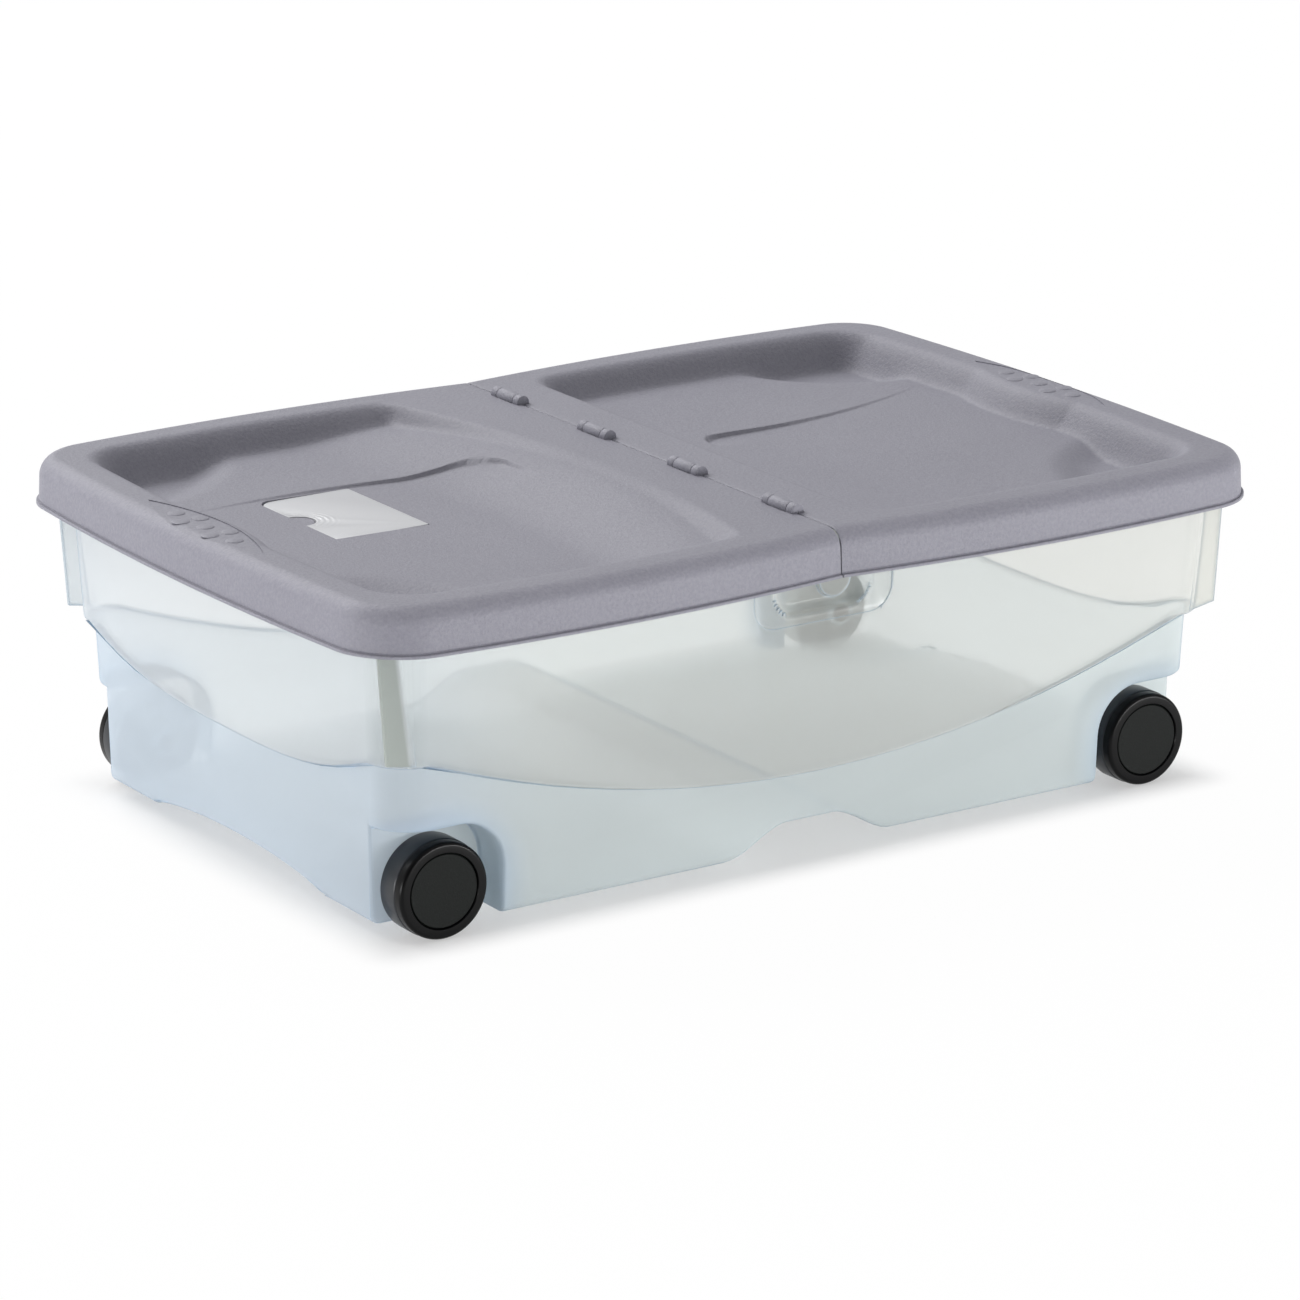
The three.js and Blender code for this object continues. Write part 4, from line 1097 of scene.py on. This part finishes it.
def lid_shell(panel):
    """One half of the lid, at +X."""
    edge = [s for s, reach, z in RIM_PROFILE[1:]]
    land_x = LID_HALF_LENGTH - LID_CORNER + RIM_START
    land_y = LID_HALF_WIDTH - LID_CORNER + RIM_START
    wall_x = LID_HALF_LENGTH - RIM_LAND
    wall_y = LID_HALF_WIDTH - RIM_LAND
    bend, step = SEAM_GAP + SEAM_ROUND, panel["hinge"]
    columns = stops(
        (SEAM_GAP, bend, 0.4 * MM), (bend, HINGE_LAND - 12 * MM, 5 * MM),
        (HINGE_LAND - 12 * MM, step - 4 * MM, 1.4 * MM), (step - 4 * MM, step + 4 * MM, 0.8 * MM),
        (step + 4 * MM, wall_x - 26 * MM, 3.4 * MM), (wall_x - 26 * MM, wall_x - 8 * MM, 1.4 * MM),
        (wall_x - 8 * MM, land_x, 0.8 * MM),
    )
    columns += [land_x + s for s in edge]
    half_rows = stops(
        (0.0, 58 * MM, 1.4 * MM), (58 * MM, wall_y - 18 * MM, 3.4 * MM),
        (wall_y - 18 * MM, wall_y + 6 * MM, 1.4 * MM), (wall_y + 6 * MM, land_y, 2.6 * MM),
    )
    half_rows += [land_y + s for s in edge]
    rows = [-r for r in reversed(half_rows[1:])] + half_rows
    fine = panel["inner"]
    rows = sorted(
        [r for r in rows if abs(r - fine) > 5 * MM]
        + [fine + k * 0.75 * MM for k in range(-6, 7)]
    )
    return sheet_over(columns, rows, lambda p, q: lid_point(p, q, panel))


def knuckle_bars(spans, radius=KNUCKLE_RADIUS):
    """Short round bars on the hinge axis, their ends softened."""
    bars = []
    for low, high in spans:
        piece = bar(radius, (0, low, HINGE_Z), (0, high, HINGE_Z), sides=40)
        round_edges(piece, lambda m, e: min(abs(m.y - low), abs(m.y - high)) < 0.01 * MM, 0.2 * MM, 2)
        bars.append(piece)
    return join(*bars)


def hinged(shell, side, room, bars, has_pins):
    """Cuts the knuckle notches out of the half on this side and adds its barrels, with pins or bores."""
    low, high = LID_TOP - LID_WALL - MM, LID_TOP + MM
    notch, web_end = KNUCKLE_RADIUS + HINGE_GAP, KNUCKLE_RADIUS + HINGE_GAP + MM
    (x0, x1), (x2, x3) = sorted((-side * MM, side * notch)), sorted((0, side * web_end))
    cutters = [block((x0, y - room, low), (x1, y + room, high)) for y in KNUCKLES]
    combine(shell, join(*cutters), "DIFFERENCE")
    web = join(*[block((x2, y0, LID_TOP - LID_WALL), (x3, y1, LID_TOP)) for y0, y1 in bars])
    combine(web, knuckle_bars(bars), "UNION")
    reach = CLIP_HALF + HINGE_GAP + MM
    spans = [(y - reach, y + reach) for y in KNUCKLES]
    if has_pins:
        combine(web, knuckle_bars(spans, HINGE_PIN), "UNION")
    else:
        combine(web, knuckle_bars(spans, HINGE_PIN + HINGE_ROOM), "DIFFERENCE")
        mouth = HINGE_PIN * 0.8
        mouths = [block((-mouth, y0, low - KNUCKLE_RADIUS), (mouth, y1, HINGE_Z)) for y0, y1 in spans]
        combine(web, join(*mouths), "DIFFERENCE")
    return combine(shell, web, "UNION")


def label_seat(shell):
    """Sinks the seat of the label plate into the floor, with a low pad that fills the plate's notch."""
    low = Vector((LABEL_LOW.x - SEAT_GAP, LABEL_LOW.y - SEAT_GAP, SEAT_FLOOR))
    high = Vector((LABEL_HIGH.x + SEAT_GAP, LABEL_HIGH.y + SEAT_GAP, LID_TOP))
    wall = Vector((LID_WALL, LID_WALL, LID_WALL))
    pad = block(low - wall, Vector((high.x, high.y, SEAT_FLOOR + MM)) + Vector((LID_WALL, LID_WALL, 0)))
    combine(shell, pad, "UNION")
    seat = block(low, high)
    round_edges(seat, lambda m, e: m.x < low.x + MM and m.y > high.y - MM, 8.5 * MM, 8)
    combine(shell, seat, "DIFFERENCE")
    filling = disc(NOTCH_RADIUS - NOTCH_ROOM, NOTCH_AT.x, NOTCH_AT.y, SEAT_FLOOR - MM, NOTCH_FLOOR, 48)
    return combine(shell, filling, "UNION")


def lid_halves():
    right = lid_shell(RIGHT_PANEL)
    left = lid_shell(LEFT_PANEL)
    for half in (right, left):
        tidy_normals(half, merge=0.001 * MM)
        top = max(half.data.polygons, key=lambda f: f.center.z if abs(f.center.y) < 0.1 else -1)
        if top.normal.z < 0:
            edit(half, lambda: bpy.ops.mesh.flip_normals())
        modify(half, "SOLIDIFY", thickness=LID_WALL, offset=-1.0)
        combine(sink_oval(half), grip_bumps(), "UNION")
    left.data.transform(MIRROR_X)
    edit(left, lambda: bpy.ops.mesh.flip_normals())
    label_seat(left)
    ear_in = CLIP_HALF + HINGE_GAP
    ear_out = ear_in + EAR_LENGTH
    clips = [(y - CLIP_HALF, y + CLIP_HALF) for y in KNUCKLES]
    ears = [(y + ear_in, y + ear_out) for y in KNUCKLES] + [(y - ear_out, y - ear_in) for y in KNUCKLES]
    hinged(right, 1, ear_out + HINGE_GAP, clips, has_pins=False)
    hinged(left, -1, ear_in, ears, has_pins=True)
    return left, right


# Label plate

def label_plate():
    low, high = LABEL_LOW, LABEL_HIGH
    plate = block(low, high)
    round_edges(plate, lambda m, e: m.x < low.x + MM and m.y > high.y - MM, 10 * MM, 10)
    round_edges(
        plate, lambda m, e: m.x > high.x - MM and abs(m.y - (low.y + high.y) / 2) > 30 * MM,
        1.5 * MM, 4,
    )
    notch = disc(NOTCH_RADIUS, NOTCH_AT.x, NOTCH_AT.y, high.z - 5 * MM, high.z + 5 * MM, 64)
    combine(plate, notch, "DIFFERENCE")
    return modify(plate, "BEVEL", width=0.3 * MM, segments=2, limit_method="ANGLE")


# Wheels, modelled for the corner at +X, +Y

def barrel():
    inner, outer = WHEEL_LOW.y, WHEEL_HIGH.y
    piece = axle_bar(WHEEL_RADIUS, inner, outer, sides=96)
    round_edges(piece, lambda m, e: min(abs(m.y - inner), abs(m.y - outer)) < 0.01 * MM, TREAD_ROUND, 4)
    hollow = axle_bar(WHEEL_RADIUS - TREAD_WALL, inner - MM, outer - WEB_DEPTH, sides=96)
    hub = axle_bar(HUB_RADIUS, inner, outer - MM, sides=64)
    bore = axle_bar(BORE_RADIUS, inner - MM, outer + MM, sides=64)
    combine(piece, hollow, "DIFFERENCE")
    combine(piece, hub, "UNION")
    return combine(piece, bore, "DIFFERENCE")


def cap():
    outer, radius = CAP_HIGH.y, CAP_DISC_RADIUS + CAP_RING

    def on_face(m, f):
        return m.y > outer - 0.01 * MM

    def on_rim(m, e):
        return on_face(m, e) and math.hypot(m.x - AXLE_X, m.z - WHEEL_RADIUS) > radius - MM

    piece = axle_bar(radius, CAP_LOW.y, outer, sides=96)
    shape_selected(
        piece, "FACE", on_face,
        lambda: bpy.ops.mesh.inset(thickness=CAP_RING - CAP_GROOVE),
        lambda: bpy.ops.mesh.inset(thickness=CAP_GROOVE, depth=-CAP_GROOVE_DEPTH),
        lambda: bpy.ops.mesh.inset(thickness=CAP_GROOVE, depth=CAP_DISC_RISE),
    )
    return round_edges(piece, on_rim, CAP_ROUND, 5)


def pin():
    inner, outer = PIN_LOW.y, PIN_HIGH.y
    barb = inner + BARB_LENGTH
    shaft = axle_bar(PIN_RADIUS, barb - MM, outer, sides=48)
    head = axle_bar(BARB_TIP, inner, barb - MM, radius_high=BARB_RADIUS)
    collar = axle_bar(BARB_RADIUS, barb - 1.02 * MM, barb)
    combine(shaft, head, "UNION")
    combine(shaft, collar, "UNION")
    return modify(shaft, "BEVEL", width=0.2 * MM, segments=2, limit_method="ANGLE")


def finish(piece, name, look, slot, body, *nodes):
    piece.name = name
    piece.data.name = name
    piece.data.materials.clear()
    piece.data.materials.append(look)
    take(piece)
    bpy.ops.object.shade_smooth_by_angle(angle=math.radians(32))
    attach(piece, body)
    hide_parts(*nodes)


def build():
    left, right = lid_halves()
    lid_look = material("polypropylene_grained_grey_mauve", grained_lid)
    label_look = material("polypropylene_smooth_pale_grey", pale_label)
    tub_look = material("polypropylene_natural_clear", natural_tub)
    finish(left, "lid_left_moulding", lid_look, "lid", "lid_left", "lid_left")
    finish(right, "lid_right_moulding", lid_look, "lid", "lid_right", "lid_right")
    finish(label_plate(), "label_plate_moulding", label_look, "label", "lid_left", "label_plate")
    finish(tub(), "tub_moulding", tub_look, "tub", "tub", "tub")
    models = {
        "wheel_barrel": (barrel(), material("polypropylene_glossy_black", black_tread), "tread"),
        "wheel_cap": (cap(), material("abs_textured_black", black_cap), "cap"),
        "axle_pin": (pin(), material("acetal_black", black_pin), "pin"),
    }
    turns = {"back_right": None, "back_left": MIRROR_X, "front_right": MIRROR_Y, "front_left": HALF_TURN}
    for kind, (model, look, slot) in models.items():
        for corner, turn in turns.items():
            twin = copy_of(model, turn)
            finish(twin, f"{kind}_{corner}_moulding", look, slot, f"wheel_{corner}", f"{kind}_{corner}")
        bpy.data.objects.remove(model, do_unlink=True)


# Studio

def studio_paper(add, place):
    # White paper: it takes the soft shadow close to the box and is plain white further out
    side = add("VectorMath", {"operation": "ABSOLUTE"}, {0: place})
    foot = (TUB_HALF_LENGTH - 12 * MM, TUB_HALF_WIDTH - 14 * MM, 0)
    out = add("VectorMath", {"operation": "SUBTRACT", 1: foot}, {0: side})
    out = add("VectorMath", {"operation": "MAXIMUM", 1: (0, 0, 0)}, {0: out})
    away = add("VectorMath", {"operation": "LENGTH"}, {0: out}).outputs["Value"]
    ends = {"From Min": -10 * MM, "From Max": SHADOW_REACH, "To Min": 0.35, "To Max": 0.98}
    share = add("MapRange", {**SOFT_STEP, **ends}, {"Value": away})
    ray = add("LightPath").outputs
    seen = ray["Is Camera Ray"]
    for kind in ("Is Glossy Ray", "Is Transmission Ray"):
        seen = add("Math", {"operation": "MAXIMUM"}, {0: seen, 1: ray[kind]})
    share = add("Math", {"operation": "MULTIPLY"}, {0: seen, 1: share})
    paper = add("BsdfDiffuse", {"Color": colour("#fafafa")})
    white = add("Emission", {"Color": colour("#ffffff"), "Strength": 1.0})
    return add("MixShader", None, {0: share, 1: paper, 2: white})


def floor_and_sky():
    bpy.ops.mesh.primitive_plane_add(size=16, location=(0, 0, 0))
    ground = bpy.context.object
    ground.name = "studio_floor"
    ground.data.materials.append(material("studio_paper_white", studio_paper))

    world = bpy.data.worlds.new("studio")
    bpy.context.scene.world = world
    world.use_nodes = True
    world.node_tree.nodes.clear()
    add = partial(node, world.node_tree)
    way = add("TexCoord").outputs["Generated"]
    dark = add("VectorMath", {"operation": "DOT_PRODUCT", 1: DARK_SIDE}, {0: way})
    ends = {"From Min": 0.42, "From Max": 0.97, "To Min": SKY, "To Max": SKY / 4}
    level = add("MapRange", {**SOFT_STEP, **ends}, {"Value": dark.outputs["Value"]})
    ray = add("LightPath").outputs
    seen = add(
        "Math", {"operation": "MAXIMUM"}, {0: ray["Is Camera Ray"], 1: ray["Is Transmission Ray"]},
    )
    sky = add("Background", {"Color": colour("#ffffff")}, {"Strength": level})
    white = add("Background", {"Color": colour("#ffffff"), "Strength": 1.0})
    mix = add("MixShader", None, {0: seen, 1: sky, 2: white})
    add("OutputWorld", None, {"Surface": mix})


def lamp(name, place, target, width, height, power):
    data = bpy.data.lights.new(name, "AREA")
    data.shape = "RECTANGLE"
    data.size = width
    data.size_y = height
    data.energy = power
    made = bpy.data.objects.new(name, data)
    made.location = place
    made.rotation_euler = (Vector(target) - Vector(place)).to_track_quat("-Z", "Y").to_euler()
    made.visible_camera = False
    bpy.context.scene.collection.objects.link(made)


def studio():
    floor_and_sky()
    lamp("back_light", (-0.9, 4.5, 4.5), (0, 0, 0.1), 6.0, 4.0, 320)
    lamp("left_card", (-4.5, 0.4, 0.1), (0, 0, 0.1), 3.4, 0.18, 92)
    lamp("front_card", (2.2, -4.0, 0.1), (0, 0, 0.1), 3.0, 0.18, 125)
    data = bpy.data.cameras.new("camera")
    data.lens = 156.9
    data.sensor_width = 36
    camera = bpy.data.objects.new("camera", data)
    camera.location = (-1.6841, -2.5593, 1.0198)
    camera.rotation_euler = (math.radians(72.897), 0, -math.radians(33.436))
    bpy.context.scene.collection.objects.link(camera)
    bpy.context.scene.camera = camera
    bpy.context.scene.view_settings.view_transform = "Standard"


build()
studio()
